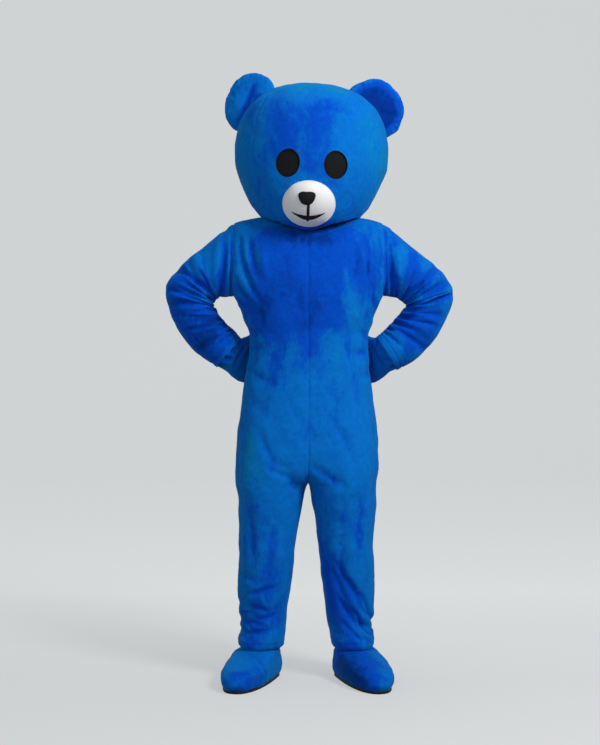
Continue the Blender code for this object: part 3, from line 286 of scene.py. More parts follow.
# Sleeves: the edge over the arm and the edge under it, as distance from the middle and height,
# then the middle of the depth and half the depth. The first row is the armhole.
SLEEVE_ROWS = {
    "left": np.array([
        (0.2353, 0.008, 0.2353, -0.213, -0.002, 0.072),
        (0.272, -0.011, 0.247, -0.216, -0.002, 0.078),
        (0.302, -0.036, 0.262, -0.218, 0.000, 0.083),
        (0.343, -0.073, 0.278, -0.219, 0.004, 0.085),
        (0.384, -0.104, 0.292, -0.224, 0.010, 0.083),
        (0.424, -0.141, 0.302, -0.236, 0.014, 0.080),
        (0.451, -0.186, 0.305, -0.243, 0.016, 0.077),
        (0.453, -0.226, 0.300, -0.249, 0.016, 0.075),
        (0.437, -0.276, 0.290, -0.270, 0.016, 0.073),
        (0.412, -0.324, 0.272, -0.292, 0.017, 0.071),
        (0.380, -0.369, 0.252, -0.314, 0.019, 0.068),
        (0.336, -0.410, 0.233, -0.332, 0.022, 0.066),
        (0.291, -0.441, 0.216, -0.352, 0.026, 0.063),
    ]),
    "right": np.array([
        (0.2353, 0.008, 0.2353, -0.213, -0.002, 0.072),
        (0.278, -0.016, 0.250, -0.217, -0.002, 0.078),
        (0.302, -0.038, 0.264, -0.219, 0.000, 0.083),
        (0.345, -0.077, 0.281, -0.223, 0.004, 0.085),
        (0.392, -0.112, 0.298, -0.232, 0.010, 0.083),
        (0.434, -0.153, 0.311, -0.241, 0.014, 0.080),
        (0.459, -0.194, 0.315, -0.249, 0.016, 0.077),
        (0.461, -0.220, 0.312, -0.254, 0.016, 0.075),
        (0.443, -0.280, 0.296, -0.270, 0.016, 0.073),
        (0.419, -0.327, 0.276, -0.292, 0.017, 0.071),
        (0.384, -0.376, 0.257, -0.314, 0.019, 0.068),
        (0.338, -0.420, 0.238, -0.333, 0.022, 0.066),
        (0.283, -0.449, 0.219, -0.348, 0.026, 0.063),
    ]),
}
SLEEVE_SET_IN = 3.0  # the rows over which the armhole's shape turns into the arm's ellipse

# Sleeve folds: row of the table, angle round the arm in units of 60 degrees (0 is over the arm,
# 1.5 the front, 3 under it), turn, half length, half width, depth
SLEEVE_FOLDS = {
    "left": [
        (1.6, 1.2, 55, 1.5, 0.32, 0.007),
        (2.9, 1.5, 62, 1.3, 0.34, 0.008),
        (4.4, 1.7, 70, 1.3, 0.28, 0.010),
        (5.6, 1.9, 96, 1.1, 0.22, 0.009),
        (6.3, 2.0, 92, 1.1, 0.20, 0.007),
        (7.1, 1.9, 88, 1.2, 0.22, 0.008),
        (7.9, 1.9, 90, 1.2, 0.22, 0.008),
        (8.8, 1.8, 84, 1.3, 0.26, 0.009),
        (9.8, 2.4, 96, 0.9, 0.22, 0.006),
        (5.8, -1.6, 88, 1.1, 0.26, 0.008),
        (7.0, -1.8, 94, 1.1, 0.26, 0.008),
        (8.3, -1.7, 86, 1.1, 0.26, 0.008),
        (2.4, -1.5, -60, 1.3, 0.34, 0.008),
    ],
    "right": [
        (1.4, 1.1, 58, 1.5, 0.30, 0.008),
        (2.6, 1.4, 64, 1.4, 0.32, 0.009),
        (4.0, 1.6, 66, 1.3, 0.28, 0.009),
        (5.3, 1.8, 92, 1.2, 0.22, 0.009),
        (6.1, 1.9, 96, 1.1, 0.20, 0.008),
        (6.9, 1.8, 90, 1.1, 0.20, 0.008),
        (7.6, 2.0, 88, 1.1, 0.20, 0.007),
        (8.4, 2.2, 92, 1.0, 0.22, 0.007),
        (9.6, 1.6, 104, 1.0, 0.28, 0.007),
        (5.6, -1.6, 94, 1.1, 0.26, 0.008),
        (6.9, -1.8, 86, 1.1, 0.26, 0.008),
        (8.2, -1.7, 92, 1.1, 0.26, 0.008),
        (2.3, -1.5, -62, 1.3, 0.34, 0.008),
    ],
}
CUFF_PLACE = 12.0


def armhole_loop(side, angle):
    """The armhole's edge, one seam outside its plane, as a loop from the shoulder tip."""
    middle, half = (SHOULDER_TIP + ARMPIT) / 2, (SHOULDER_TIP - ARMPIT) / 2 - SEAM
    height = middle + half * np.cos(angle)
    turned = armhole_angle(side, height) * np.where(np.sin(angle) > 0, -1, 1)
    loop = suit_surface(side, height, turned)
    loop[..., 0] = SIDES[side] * (ARMHOLE_X + SEAM)
    return loop


def arm_ellipse(side, table, first_row, place, angle, raised):
    """An ellipse at each place along an arm, between the edges over it and under it that the
    table's rows give, and moved outwards by raised."""
    rows = np.arange(len(table)) + first_row
    over_x, over_z, under_x, under_z, middle_y, depth = (
        smooth(place, rows, column) for column in table.T
    )
    grown = 1 + raised / (np.hypot(over_x - under_x, over_z - under_z) / 2)
    lean = np.cos(angle) * grown
    x = (over_x + under_x) / 2 + (over_x - under_x) / 2 * lean
    z = (over_z + under_z) / 2 + (over_z - under_z) / 2 * lean
    return np.stack([SIDES[side] * x, middle_y - depth * np.sin(angle) * grown, z], axis=-1)


def sleeve_surface(side, place, angle):
    """The sleeve's outer face: the arm's ellipses, growing out of the armhole's loop, pressed in by
    the folds."""
    pressed = folds(place, sixths(angle), SLEEVE_FOLDS[side])
    pressed = pressed * np.clip(place / 1.5, 0, 1) * np.clip((CUFF_PLACE - place) / 1.2, 0, 1)
    ellipse = arm_ellipse(side, SLEEVE_ROWS[side], 0, place, angle, pressed)
    share = ease(np.clip(place / SLEEVE_SET_IN, 0, 1)[..., None])
    return armhole_loop(side, angle) * (1 - share) + ellipse * share


# The head, about its own middle. Its profile runs from the crown down past the rim.
HEAD_MIDDLE = np.array([0.010, -0.008, 0.228])
HEAD_ROLL = 2.4  # degrees, towards the right shoulder
HEAD_POWER = 2.1
RIM_FRONT = -0.0195  # the height of the head's lower edge at its front
RIM_SIDE = 0.0310  # where it rests over the shoulders
RIM_BACK = 0.0220
# height, half width, depth to the front, depth to the back
HEAD = np.array([
    (0.2222, 0.0000, 0.0000, 0.0000),
    (0.2166, 0.0616, 0.0580, 0.0560),
    (0.1974, 0.1310, 0.1210, 0.1180),
    (0.1740, 0.1696, 0.1550, 0.1520),
    (0.1452, 0.2000, 0.1830, 0.1780),
    (0.1160, 0.2176, 0.2000, 0.1920),
    (0.0736, 0.2336, 0.2130, 0.2040),
    (0.0000, 0.2410, 0.2200, 0.2080),
    (-0.0416, 0.2368, 0.2200, 0.2040),
    (-0.0832, 0.2224, 0.2160, 0.1920),
    (-0.1184, 0.2064, 0.2080, 0.1760),
    (-0.1536, 0.1872, 0.1960, 0.1580),
    (-0.1920, 0.1584, 0.1780, 0.1360),
    (-0.2208, 0.1280, 0.1580, 0.1120),
    (-0.2368, 0.1000, 0.1350, 0.0900),
    (-0.2520, 0.0700, 0.1080, 0.0650),
])

EYE_HEIGHT = -0.0570
EYE_APART = 0.1452
EYE_MIDDLE = 0.002
EYE_SIZE = (0.0365, 0.0425)
EYE_RECESS = 0.003
EYE_CORD = 0.0016  # half the thickness of the binding


def head_place(points):
    """Head coordinates to the costume's: rolled about the head's middle, then set in place."""
    return turned(points, HEAD_ROLL, 1) + HEAD_MIDDLE


def to_head(points):
    """The costume's coordinates to the head's own: the way of head_place back again."""
    return turned(points - HEAD_MIDDLE, -HEAD_ROLL, 1)


def head_surface(place, azimuth):
    """The head's outer face: a rounded ring at each row of its profile, fuller in front."""
    rows = np.arange(len(HEAD))
    height, half, front, back = (smooth(place, rows, column) for column in HEAD.T)
    x = half * power(np.sin(azimuth), 2 / HEAD_POWER)
    depth = np.where(np.cos(azimuth) > 0, front, back)
    y = -depth * power(np.cos(azimuth), 2 / HEAD_POWER)
    return head_place(np.stack([x, y, height], axis=-1))


def rim_place(azimuth):
    """The profile row at which each azimuth reaches the head's lower edge."""
    ends = np.where(np.cos(azimuth) > 0, RIM_FRONT, RIM_BACK)
    lowest = ends + (RIM_SIDE - ends) * np.sin(azimuth) ** 2
    tries = np.linspace(8, len(HEAD) - 1, 400)
    found = [
        np.interp(-level, -head_surface(tries, np.full(400, turn))[:, 2], tries)
        for level, turn in zip(lowest, azimuth)
    ]
    return np.array(found)


def face_depth(x, z):
    """Where the front of the head lies, in head coordinates, at a place seen from the front."""
    order = np.argsort(HEAD[:, 0])
    half = smooth(z, HEAD[order, 0], HEAD[order, 1])
    front = smooth(z, HEAD[order, 0], HEAD[order, 2])
    share = np.clip(np.abs(x) / half, 0, 1)
    return -front * (1 - share**HEAD_POWER) ** (1 / HEAD_POWER)


MUZZLE_MIDDLE = (-0.0015, -0.1745)
MUZZLE_SIZE = (0.0800, 0.0650)
MUZZLE_DOME = 0.036
MUZZLE_EDGE = 0.005
MUZZLE_PILE = 0.0014
NOSE_MIDDLE = (-0.0085, -0.1635)
NOSE_SIZE = (0.0330, 0.0205)
NOSE_PROUD = 0.009
MOUTH_X = -0.0030
LINE_TOP, LINE_HALF = -0.1720, 0.0048
SMILE_HALF_WIDTH = 0.0520
SMILE_END, SMILE_BOTTOM = -0.2020, -0.2195
SMILE_THICK = 0.0120
MARK_PROUD = 0.0025


def muzzle_depth(x, z):
    """The muzzle's front in head coordinates: a low dome on the face, round at its edge."""
    radius = np.hypot((x - MUZZLE_MIDDLE[0]) / MUZZLE_SIZE[0], (z - MUZZLE_MIDDLE[1]) / MUZZLE_SIZE[1])
    dome = MUZZLE_DOME * np.clip(1 - radius**2.2, 0, 1) ** 0.62
    return face_depth(x, z) - MUZZLE_EDGE - dome


# The ears: round pads, cut to the head. Middle as x, y, z, then half width and half height, the
# turn about the upright axis and the lean sideways, in degrees
EARS = {
    "left": ((-0.1845, -0.002, 0.3955), (0.0865, 0.100), 20, 16),
    "right": ((0.2085, 0.030, 0.3805), (0.100, 0.101), 6, -30),
}
EAR_THICK = 0.052
EAR_DISH = 0.014  # how far an ear's middle lies behind its rim
EAR_POWER = 2.15
EAR_VOXEL = 0.0045
EAR_SWELL = 0.007  # the furthest that the stuffing moves the cloth
# How far the nap of the rim lies towards royal, and how much further that of the dished middle,
# which on the right ear is painted shade in the dish
EAR_NAP_AND_DISH_SHADE = {"left": (-0.10, 0.0), "right": (0.25, 1.60)}


# Mitts: past the cuff the hand turns in behind the waist and lies on the hip. Columns as for the
# sleeves, for the rows after the cuff's.
HAND_ROWS = np.array([
    (0.262, -0.456, 0.206, -0.350, 0.042, 0.055),
    (0.243, -0.474, 0.192, -0.353, 0.062, 0.049),
    (0.222, -0.489, 0.173, -0.360, 0.086, 0.042),
    (0.198, -0.494, 0.152, -0.371, 0.111, 0.036),
    (0.171, -0.492, 0.130, -0.382, 0.134, 0.031),
    (0.142, -0.483, 0.110, -0.395, 0.150, 0.027),
    (0.114, -0.468, 0.095, -0.412, 0.159, 0.020),
])
FINGER_END = (0.090, 0.163, -0.440)
FINGER_ROW, TIP_RINGS = 19.0, 12  # the last row of the hand, and the rings that close its end

THUMB = (14.6, 3.35, 0.030)  # its row, its angle and how far it stands out


def mitt_surface(side, place, angle):
    """The mitt's outer face: inside the sleeve it is the sleeve's own face, in by the cloth and a
    seam. Beyond the cuff it is an ellipse on each hand row, with the thumb's swelling."""
    tucked = sleeve_surface(side, np.minimum(place, CUFF_PLACE), angle)
    out = normals(lambda s, t: sleeve_surface(side, s, t), np.minimum(place, CUFF_PLACE - 0.05), angle)
    tucked = tucked + (CLOTH + 2 * SEAM) * out * SIDES[side]
    apart = (place - THUMB[0]) ** 2 / 0.8 + (angle - THUMB[1]) ** 2 / 0.3
    table = np.vstack([SLEEVE_ROWS[side][-2:], HAND_ROWS])
    hand = arm_ellipse(side, table, CUFF_PLACE - 1, place, angle, THUMB[2] * np.exp(-apart))
    share = ease(np.clip((place - CUFF_PLACE) / 1.1, 0, 1)[..., None])
    return tucked * (1 - share) + hand * share


# Boots: the ankle's place, the turn outwards, and rows of the upper. The sole is one flat plate.
ANKLES = {"left": (0.166, 0.020), "right": (0.158, 0.020)}
TOE_OUT = 13
SOLE_LAP = 0.006  # how far the cloth comes down over the sole's edge
# height over the floor, toe and heel from the ankle, half width, share of the trouser leg's ring
BOOT = np.array([
    (0.0103, 0.264, 0.076, 0.071, 0.00),
    (0.0250, 0.270, 0.080, 0.076, 0.00),
    (0.0420, 0.264, 0.080, 0.077, 0.00),
    (0.0580, 0.244, 0.078, 0.075, 0.06),
    (0.0720, 0.208, 0.076, 0.073, 0.22),
    (0.0830, 0.166, 0.075, 0.072, 0.48),
    (0.0910, 0.132, 0.075, 0.072, 0.76),
    (0.0965, 0.100, 0.078, 0.067, 0.99),
    (0.1000, 0.095, 0.078, 0.067, 1.00),
    (0.1120, 0.090, 0.078, 0.067, 1.00),
    (0.1300, 0.090, 0.078, 0.067, 1.00),
])

TOE_POWER = 2.35  # the footprint's own power, as for the body


def foot_ring(side, toe, heel, half, angle):
    """A footprint oval about the ankle, its toe turned outwards: x outwards and y."""
    ankle_x, ankle_y = ANKLES[side]
    turned = angle - math.radians(TOE_OUT)
    ahead = -np.sin(turned)
    reach = np.where(ahead > 0, toe, heel)
    along = reach * power(ahead, 2 / TOE_POWER)
    across = half * power(np.cos(turned), 2 / TOE_POWER)
    turn = math.radians(TOE_OUT)
    x = ankle_x + across * math.cos(turn) + along * math.sin(turn)
    y = ankle_y + across * math.sin(turn) - along * math.cos(turn)
    return x, y


def inside_hem(side, height, corner):
    """The trouser hem's corner of that count, in by the cloth and a seam, at a boot's height."""
    level = np.full_like(height, HEM + 0.001)
    angle = corner * math.pi / SUIT_COLUMNS
    place = suit_surface(side, level, angle)
    out = normals(lambda s, t: suit_surface(side, s, t), level, angle) * -SIDES[side]
    out[..., 2] = 0
    out = out / np.linalg.norm(out, axis=-1, keepdims=True)
    place = place - (CLOTH * 1.45 + SEAM) * out
    place[..., 2] = height + FLOOR
    return place


def boot_surface(side, height, angle):
    """The boot upper's outer face: footprint ovals that draw in over the instep and become a
    tube within the trouser hem's own faceted ring."""
    toe, heel, half, leg = (smooth(height, BOOT[:, 0], column) for column in BOOT.T[1:])
    x, y = foot_ring(side, toe, heel, half, angle)
    foot = np.stack([SIDES[side] * x, y, height + FLOOR], -1)
    turns = angle * SUIT_COLUMNS / math.pi
    corner = np.floor(turns + 1e-6)
    between = (turns - corner)[..., None]
    ring = inside_hem(side, height, corner) * (1 - between)
    ring = ring + inside_hem(side, height, corner + 1) * between
    return foot * (1 - leg[..., None]) + ring * leg[..., None]


# The zip down the centre back, closed
ZIP_TOP, ZIP_BOTTOM = -0.045, -0.530
TAPE_HALF, TAPE_THICK = 0.009, 0.0012


def back_line(height):
    """The centre-back seam on the suit's outer face, and the way out of the cloth there."""
    angle = suit_ring("right", height)[6]
    place = suit_surface("right", height, angle)
    place[..., 0] = 0
    along = np.gradient(place, axis=0)
    out = np.stack([0 * height, along[:, 2], -along[:, 1]], -1)
    out = out / np.linalg.norm(out, axis=-1, keepdims=True)
    return place, out * np.sign(out[:, 1:2])


# Meshes from grids


def grid_normals(grid, closed=False):
    """The normal at each corner of a grid: the cross product of the steps along its rows and its
    columns, each step taken from the neighbour before to the neighbour after."""
    down = np.gradient(grid, axis=0)
    if closed:
        along = (np.roll(grid, -1, axis=1) - np.roll(grid, 1, axis=1)) / 2
    else:
        along = np.gradient(grid, axis=1)
    return unit(np.cross(down, along))


def outwards(grid, middle, closed=False):
    """The grid's normals, all turned to the side away from a middle point or middle line."""
    out = grid_normals(grid, closed)
    way = np.sign(np.sum(out * (grid - middle)))
    return out * (way or 1)


def ring_outwards(grid):
    """A tube's normals, all turned away from the middle of their own ring."""
    return outwards(grid, grid.mean(axis=1, keepdims=True), True)


def towards_front(grid):
    """The front's direction, for each corner of a grid."""
    return np.broadcast_to([0.0, -1.0, 0.0], grid.shape)


def quads(rows, columns, closed):
    """The four corner numbers of each quad of a grid, as one array."""
    a = np.arange(rows * columns).reshape(rows, columns)
    b = np.roll(a, -1, axis=1)
    if not closed:
        a, b = a[:, :-1], b[:, :-1]
    return np.stack([a[:-1], b[:-1], b[1:], a[1:]], axis=-1).reshape(-1, 4)


def weld(mesh):
    """Joins corners at one place, as at a pole, so that the shell is closed there."""
    net = bmesh.new()
    net.from_mesh(mesh)
    bmesh.ops.remove_doubles(net, verts=net.verts, dist=1e-6)
    net.to_mesh(mesh)
    net.free()


def mesh_piece(name, points, faces, look, marks, flip):
    """A smooth-shaded mesh from corner places and equal-sided faces, with point values in marks.
    Flip turns every face over."""
    faces = np.asarray(faces)
    if flip:
        faces = faces[:, ::-1]
    mesh = bpy.data.meshes.new(name)
    mesh.vertices.add(len(points))
    mesh.vertices.foreach_set("co", np.asarray(points, np.float32).ravel())
    sides = faces.shape[1]
    mesh.loops.add(faces.size)
    mesh.loops.foreach_set("vertex_index", faces.ravel().astype(np.int32))
    mesh.polygons.add(len(faces))
    mesh.polygons.foreach_set("loop_start", np.arange(0, faces.size, sides, dtype=np.int32))
    mesh.update(calc_edges=True)
    for mark, values in (marks or {}).items():
        layer = mesh.attributes.new(mark, "FLOAT", "POINT")
        layer.data.foreach_set("value", np.asarray(values, np.float32).ravel())
    weld(mesh)
    mesh.shade_smooth()
    mesh.materials.append(look)
    piece = bpy.data.objects.new(name, mesh)
    bpy.context.scene.collection.objects.link(piece)
    return piece


def facing_out(faces, points, out):
    """Whether the faces' own normals agree with the wanted ways out, by the sum over all faces."""
    a, b, c = points[faces[:, 0]], points[faces[:, 1]], points[faces[:, 2]]
    return np.sum(np.cross(b - a, c - a) * out[faces[:, 0]]) > 0


def grid_piece(name, grid, out, look, closed=False, marks=None):
    """A shell over a grid of corners, its faces turned the way that out points."""
    points = grid.reshape(-1, 3)
    faces = quads(grid.shape[0], grid.shape[1], closed)
    flip = not facing_out(faces, points, out.reshape(-1, 3))
    return mesh_piece(name, points, faces, look, marks, flip)


# Relief


def waves(points, seed, wavelength, count=14):
    """Soft random relief from -1 to 1: the mean of plane waves in random directions, each with a
    wavelength between two thirds and three halves of the one given."""
    random = np.random.default_rng(seed)
    total = np.zeros(points.shape[:-1])
    for _ in range(count):
        way = unit(random.normal(size=3))
        turn = 2 * math.pi / (wavelength * random.uniform(0.67, 1.5))
        total += np.sin(points @ way * turn + random.uniform(0, 2 * math.pi))
    return total / math.sqrt(count / 2) / 2


def pile_relief(points):
    """Clumps of pile: waves at 9 mm, 17 mm and 55 mm, the smaller the shallower."""
    fine = 0.00016 * waves(points, seed=5, wavelength=0.009, count=18)
    middle = 0.00030 * waves(points, seed=6, wavelength=0.017, count=16)
    return fine + middle + 0.0010 * waves(points, seed=7, wavelength=0.055, count=12)


def arc_along(grid, axis):
    """The length walked along a grid's rows or columns from its first corner."""
    step = np.linalg.norm(np.diff(grid, axis=axis), axis=-1)
    first = np.zeros_like(np.take(step, [0], axis=axis))
    return np.concatenate([first, np.cumsum(step, axis=axis)], axis=axis)


def turned_edge(grid, out, last, depth, thickness):
    """Extra rows past a grid's first or last edge: round the edge of the cloth, and back along its
    inner side to the depth. The angle goes up to half a turn on a circle as thick as the cloth."""
    edge, before = (grid[-1], grid[-2]) if last else (grid[0], grid[1])
    way = unit(edge - before)
    normal = out[-1] if last else out[0]
    rows = []
    for turn in np.linspace(0.35, math.pi, 6):
        inwards = thickness / 2 * (1 - math.cos(turn))
        ahead = thickness / 2 * math.sin(turn)
        rows.append(edge - inwards * normal + ahead * way)
    for back in (0.4, 1.0):
        rows.append(edge - thickness * normal - depth * back * way)
    rows = np.array(rows)
    if last:
        return np.concatenate([grid, rows])
    return np.concatenate([rows[::-1], grid])


# Creases that the solids are too coarse for. Columns as for the folds of the solids: suit creases
# as arc from the outside seam (minus is the front) and height, turn, half length, half width,
# depth, and a depth below 0 is a ridge.
SUIT_CREASES = {
    "left": [
        (-0.172, -0.105, 82, 0.060, 0.0120, 0.0080),
        (-0.205, -0.120, 86, 0.050, 0.0130, -0.0050),
        (-0.128, -0.080, 86, 0.045, 0.0100, 0.0060),
        (-0.150, -0.172, 76, 0.060, 0.0125, 0.0085),
        (-0.105, -0.215, 52, 0.050, 0.0120, 0.0080),
        (-0.070, -0.243, 30, 0.055, 0.0120, 0.0080),
        (-0.040, -0.272, 14, 0.050, 0.0120, 0.0060),
        (-0.060, -0.330, 8, 0.060, 0.0130, 0.0050),
        (-0.100, -0.385, -6, 0.055, 0.0120, 0.0050),
        (-0.050, -0.450, -14, 0.060, 0.0150, 0.0050),
        (-0.160, -0.480, 20, 0.060, 0.0160, 0.0040),
        (-0.210, -0.720, 64, 0.080, 0.0160, 0.0050),
        (-0.235, -0.790, 42, 0.055, 0.0120, 0.0060),
        (-0.060, -0.770, 84, 0.100, 0.0160, 0.0045),
        (-0.110, -0.960, 84, 0.100, 0.0170, 0.0055),
        (-0.180, -1.020, 98, 0.090, 0.0150, 0.0050),
        (-0.080, -1.100, 14, 0.060, 0.0120, 0.0050),
        (-0.150, -1.145, -14, 0.055, 0.0110, 0.0060),
        (-0.060, -1.172, 8, 0.050, 0.0095, 0.0065),
        (-0.130, -1.196, 12, 0.055, 0.0090, 0.0075),
        (-0.070, -1.218, -6, 0.060, 0.0085, 0.0085),
        (-0.172, -1.232, -16, 0.045, 0.0085, 0.0065),
        (-0.105, -1.247, 7, 0.065, 0.0085, 0.0085),
        (-0.040, -1.264, 12, 0.045, 0.0080, 0.0060),
        (-0.135, -1.277, -8, 0.055, 0.0080, 0.0065),
        (-0.080, -1.298, 4, 0.055, 0.0075, 0.0050),
        (0.060, -0.170, 70, 0.065, 0.0120, 0.0070),
        (0.150, -0.200, 86, 0.070, 0.0140, 0.0060),
        (0.080, -0.290, 20, 0.065, 0.0130, 0.0065),
        (0.140, -0.345, 6, 0.070, 0.0140, 0.0060),
        (0.060, -0.370, -8, 0.060, 0.0130, 0.0060),
        (0.180, -0.620, 66, 0.090, 0.0170, 0.0050),
        (0.170, -0.800, 38, 0.065, 0.0130, 0.0060),
        (0.110, -0.855, 24, 0.060, 0.0120, 0.0055),
        (0.130, -0.980, 92, 0.090, 0.0160, 0.0050),
        (0.090, -1.070, -10, 0.060, 0.0120, 0.0055),
        (0.140, -1.165, 8, 0.055, 0.0100, 0.0065),
        (0.060, -1.195, -8, 0.055, 0.0090, 0.0075),
        (0.115, -1.228, 8, 0.060, 0.0085, 0.0080),
        (0.050, -1.260, -6, 0.050, 0.0085, 0.0070),
        (0.130, -1.285, 8, 0.055, 0.0080, 0.0055),
    ],
    "right": [
        (-0.160, -0.100, 98, 0.065, 0.0120, 0.0080),
        (-0.196, -0.125, 94, 0.050, 0.0110, 0.0075),
        (-0.128, -0.095, 96, 0.055, 0.0120, -0.0050),
        (-0.110, -0.075, 98, 0.045, 0.0100, 0.0050),
        (-0.140, -0.182, 106, 0.060, 0.0125, 0.0080),
        (-0.100, -0.222, 130, 0.050, 0.0120, 0.0075),
        (-0.065, -0.250, 152, 0.055, 0.0120, 0.0075),
        (-0.035, -0.280, 168, 0.050, 0.0120, 0.0055),
        (-0.070, -0.345, 172, 0.060, 0.0130, 0.0050),
        (-0.110, -0.400, 8, 0.055, 0.0120, 0.0045),
        (-0.050, -0.460, 12, 0.060, 0.0150, 0.0050),
        (-0.150, -0.520, 96, 0.100, 0.0180, 0.0040),
        (-0.200, -0.700, 118, 0.080, 0.0160, 0.0055),
        (-0.228, -0.785, 142, 0.055, 0.0120, 0.0060),
        (-0.060, -0.720, 98, 0.100, 0.0160, 0.0045),
        (-0.120, -0.940, 94, 0.110, 0.0180, 0.0055),
        (-0.185, -1.030, 84, 0.090, 0.0150, 0.0050),
        (-0.175, -1.110, 122, 0.065, 0.0120, 0.0070),
        (-0.135, -1.160, 120, 0.060, 0.0110, 0.0080),
        (-0.090, -1.190, 132, 0.055, 0.0100, 0.0080),
        (-0.178, -1.205, 126, 0.050, 0.0095, 0.0080),
        (-0.125, -1.235, 134, 0.050, 0.0090, 0.0075),
        (-0.060, -1.228, 156, 0.045, 0.0085, 0.0065),
        (-0.090, -1.264, 148, 0.050, 0.0085, 0.0070),
        (-0.155, -1.274, 140, 0.045, 0.0085, 0.0065),
        (-0.040, -1.288, 168, 0.050, 0.0080, 0.0055),
        (-0.110, -1.298, 166, 0.050, 0.0075, 0.0050),
        (0.060, -0.180, 110, 0.065, 0.0120, 0.0070),
        (0.140, -0.215, 96, 0.070, 0.0140, 0.0060),
        (0.075, -0.300, 160, 0.065, 0.0130, 0.0065),
        (0.145, -0.360, 174, 0.070, 0.0140, 0.0055),
        (0.060, -0.380, 8, 0.060, 0.0130, 0.0060),
        (0.175, -0.640, 112, 0.090, 0.0170, 0.0050),
        (0.165, -0.810, 142, 0.065, 0.0130, 0.0060),
        (0.115, -0.865, 158, 0.060, 0.0120, 0.0055),
        (0.120, -0.990, 88, 0.090, 0.0160, 0.0050),
        (0.085, -1.070, 12, 0.060, 0.0120, 0.0055),
        (0.140, -1.160, 170, 0.055, 0.0100, 0.0065),
        (0.065, -1.190, 8, 0.055, 0.0090, 0.0075),
        (0.115, -1.235, 172, 0.060, 0.0085, 0.0080),
        (0.050, -1.270, 8, 0.050, 0.0085, 0.0065),
    ],
}

# Sleeve creases: columns as for the sleeves' folds
SLEEVE_CREASES = {
    "left": [
        (0.6, 1.3, 84, 1.1, 0.16, 0.0051),
        (1.1, 1.9, 74, 1.2, 0.22, 0.0119),
        (1.7, 0.7, 78, 0.9, 0.20, 0.0043),
        (2.2, 2.1, 58, 1.2, 0.24, 0.0140),
        (2.9, 2.5, 50, 0.9, 0.20, 0.0112),
        (3.2, 1.2, 66, 1.0, 0.24, 0.0064),
        (4.0, 2.3, 74, 1.1, 0.24, 0.0154),
        (4.5, 1.3, 104, 1.2, 0.22, 0.0147),
        (5.0, 0.8, 92, 0.8, 0.28, 0.0060),
        (5.0, 2.1, 106, 1.0, 0.20, 0.0154),
        (6.0, 1.2, 112, 0.8, 0.30, 0.0130),
        (6.8, 2.2, 72, 0.9, 0.26, 0.0120),
        (7.3, 1.0, 100, 0.9, 0.34, 0.0150),
        (8.3, 1.6, 78, 1.1, 0.26, 0.0120),
        (8.9, 2.5, 96, 0.7, 0.24, 0.0100),
        (9.2, 1.6, 84, 1.0, 0.20, 0.0064),
        (9.9, 2.4, 92, 0.8, 0.17, 0.0055),
        (10.5, 1.3, 96, 0.9, 0.18, 0.0051),
        (11.0, 2.2, 90, 0.8, 0.16, 0.0047),
        (6.4, 2.8, 86, 0.6, 0.20, 0.0120),
        (7.6, 2.7, 95, 0.6, 0.22, 0.0130),
        (9.5, 2.7, 87, 0.6, 0.22, 0.0120),
        (10.5, 2.8, 93, 0.5, 0.18, 0.0100),
        (7.1, -2.8, 92, 0.5, 0.20, 0.0110),
        (9.6, -2.7, 85, 0.6, 0.22, 0.0110),
        (1.3, -1.7, -66, 1.1, 0.22, 0.0112),
        (2.9, -1.9, -70, 1.1, 0.24, 0.0119),
        (4.3, -1.5, -98, 1.1, 0.22, 0.0119),
        (5.5, -2.2, 90, 1.0, 0.18, 0.0126),
        (6.2, -1.3, 86, 0.9, 0.17, 0.0064),
        (7.0, -2.3, 94, 1.0, 0.17, 0.0112),
        (7.8, -1.3, 88, 0.9, 0.18, 0.0112),
        (8.8, -2.1, 84, 0.9, 0.20, 0.0064),
        (10.1, -1.5, 94, 0.9, 0.18, 0.0051),
    ],
    "right": [
        (1.2, 2.4, 118, 0.8, 0.40, 0.0120),
        (1.0, 1.7, 76, 1.2, 0.26, 0.0110),
        (1.8, 0.8, 74, 0.9, 0.20, 0.0043),
        (2.0, 2.2, 60, 1.2, 0.23, 0.0140),
        (2.8, 2.6, 52, 0.9, 0.20, 0.0112),
        (3.0, 1.1, 70, 1.0, 0.22, 0.0059),
        (3.8, 2.2, 70, 1.1, 0.22, 0.0147),
        (4.3, 1.3, 96, 1.1, 0.20, 0.0119),
        (4.8, 2.3, 84, 1.0, 0.18, 0.0147),
        (5.5, 1.1, 82, 0.8, 0.28, 0.0120),
        (6.4, 2.2, 104, 0.9, 0.26, 0.0120),
        (6.9, 1.1, 78, 0.9, 0.32, 0.0130),
        (7.9, 1.7, 102, 1.0, 0.28, 0.0130),
        (8.4, 2.5, 84, 0.7, 0.24, 0.0100),
        (8.7, 1.7, 98, 1.0, 0.19, 0.0112),
        (9.5, 2.4, 88, 0.8, 0.17, 0.0055),
        (10.1, 1.4, 104, 1.0, 0.20, 0.0112),
        (10.9, 2.2, 94, 0.8, 0.16, 0.0047),
        (6.0, 2.8, 94, 0.6, 0.20, 0.0120),
        (7.3, 2.7, 86, 0.6, 0.22, 0.0140),
        (9.2, 2.7, 95, 0.6, 0.22, 0.0120),
        (10.2, 2.8, 88, 0.5, 0.20, 0.0120),
        (6.8, -2.8, 88, 0.5, 0.20, 0.0110),
        (9.3, -2.7, 94, 0.6, 0.22, 0.0110),
        (1.2, -1.8, -64, 1.1, 0.22, 0.0112),
        (2.8, -1.8, -72, 1.1, 0.23, 0.0119),
        (4.2, -1.5, -94, 1.1, 0.21, 0.0119),
        (5.4, -2.2, 88, 1.0, 0.18, 0.0126),
        (6.1, -1.3, 94, 0.9, 0.16, 0.0064),
        (6.9, -2.3, 86, 1.0, 0.17, 0.0112),
        (7.7, -1.3, 92, 0.9, 0.17, 0.0112),
        (8.7, -2.2, 96, 0.9, 0.19, 0.0064),
        (10.0, -1.4, 86, 0.9, 0.18, 0.0051),
    ],
}

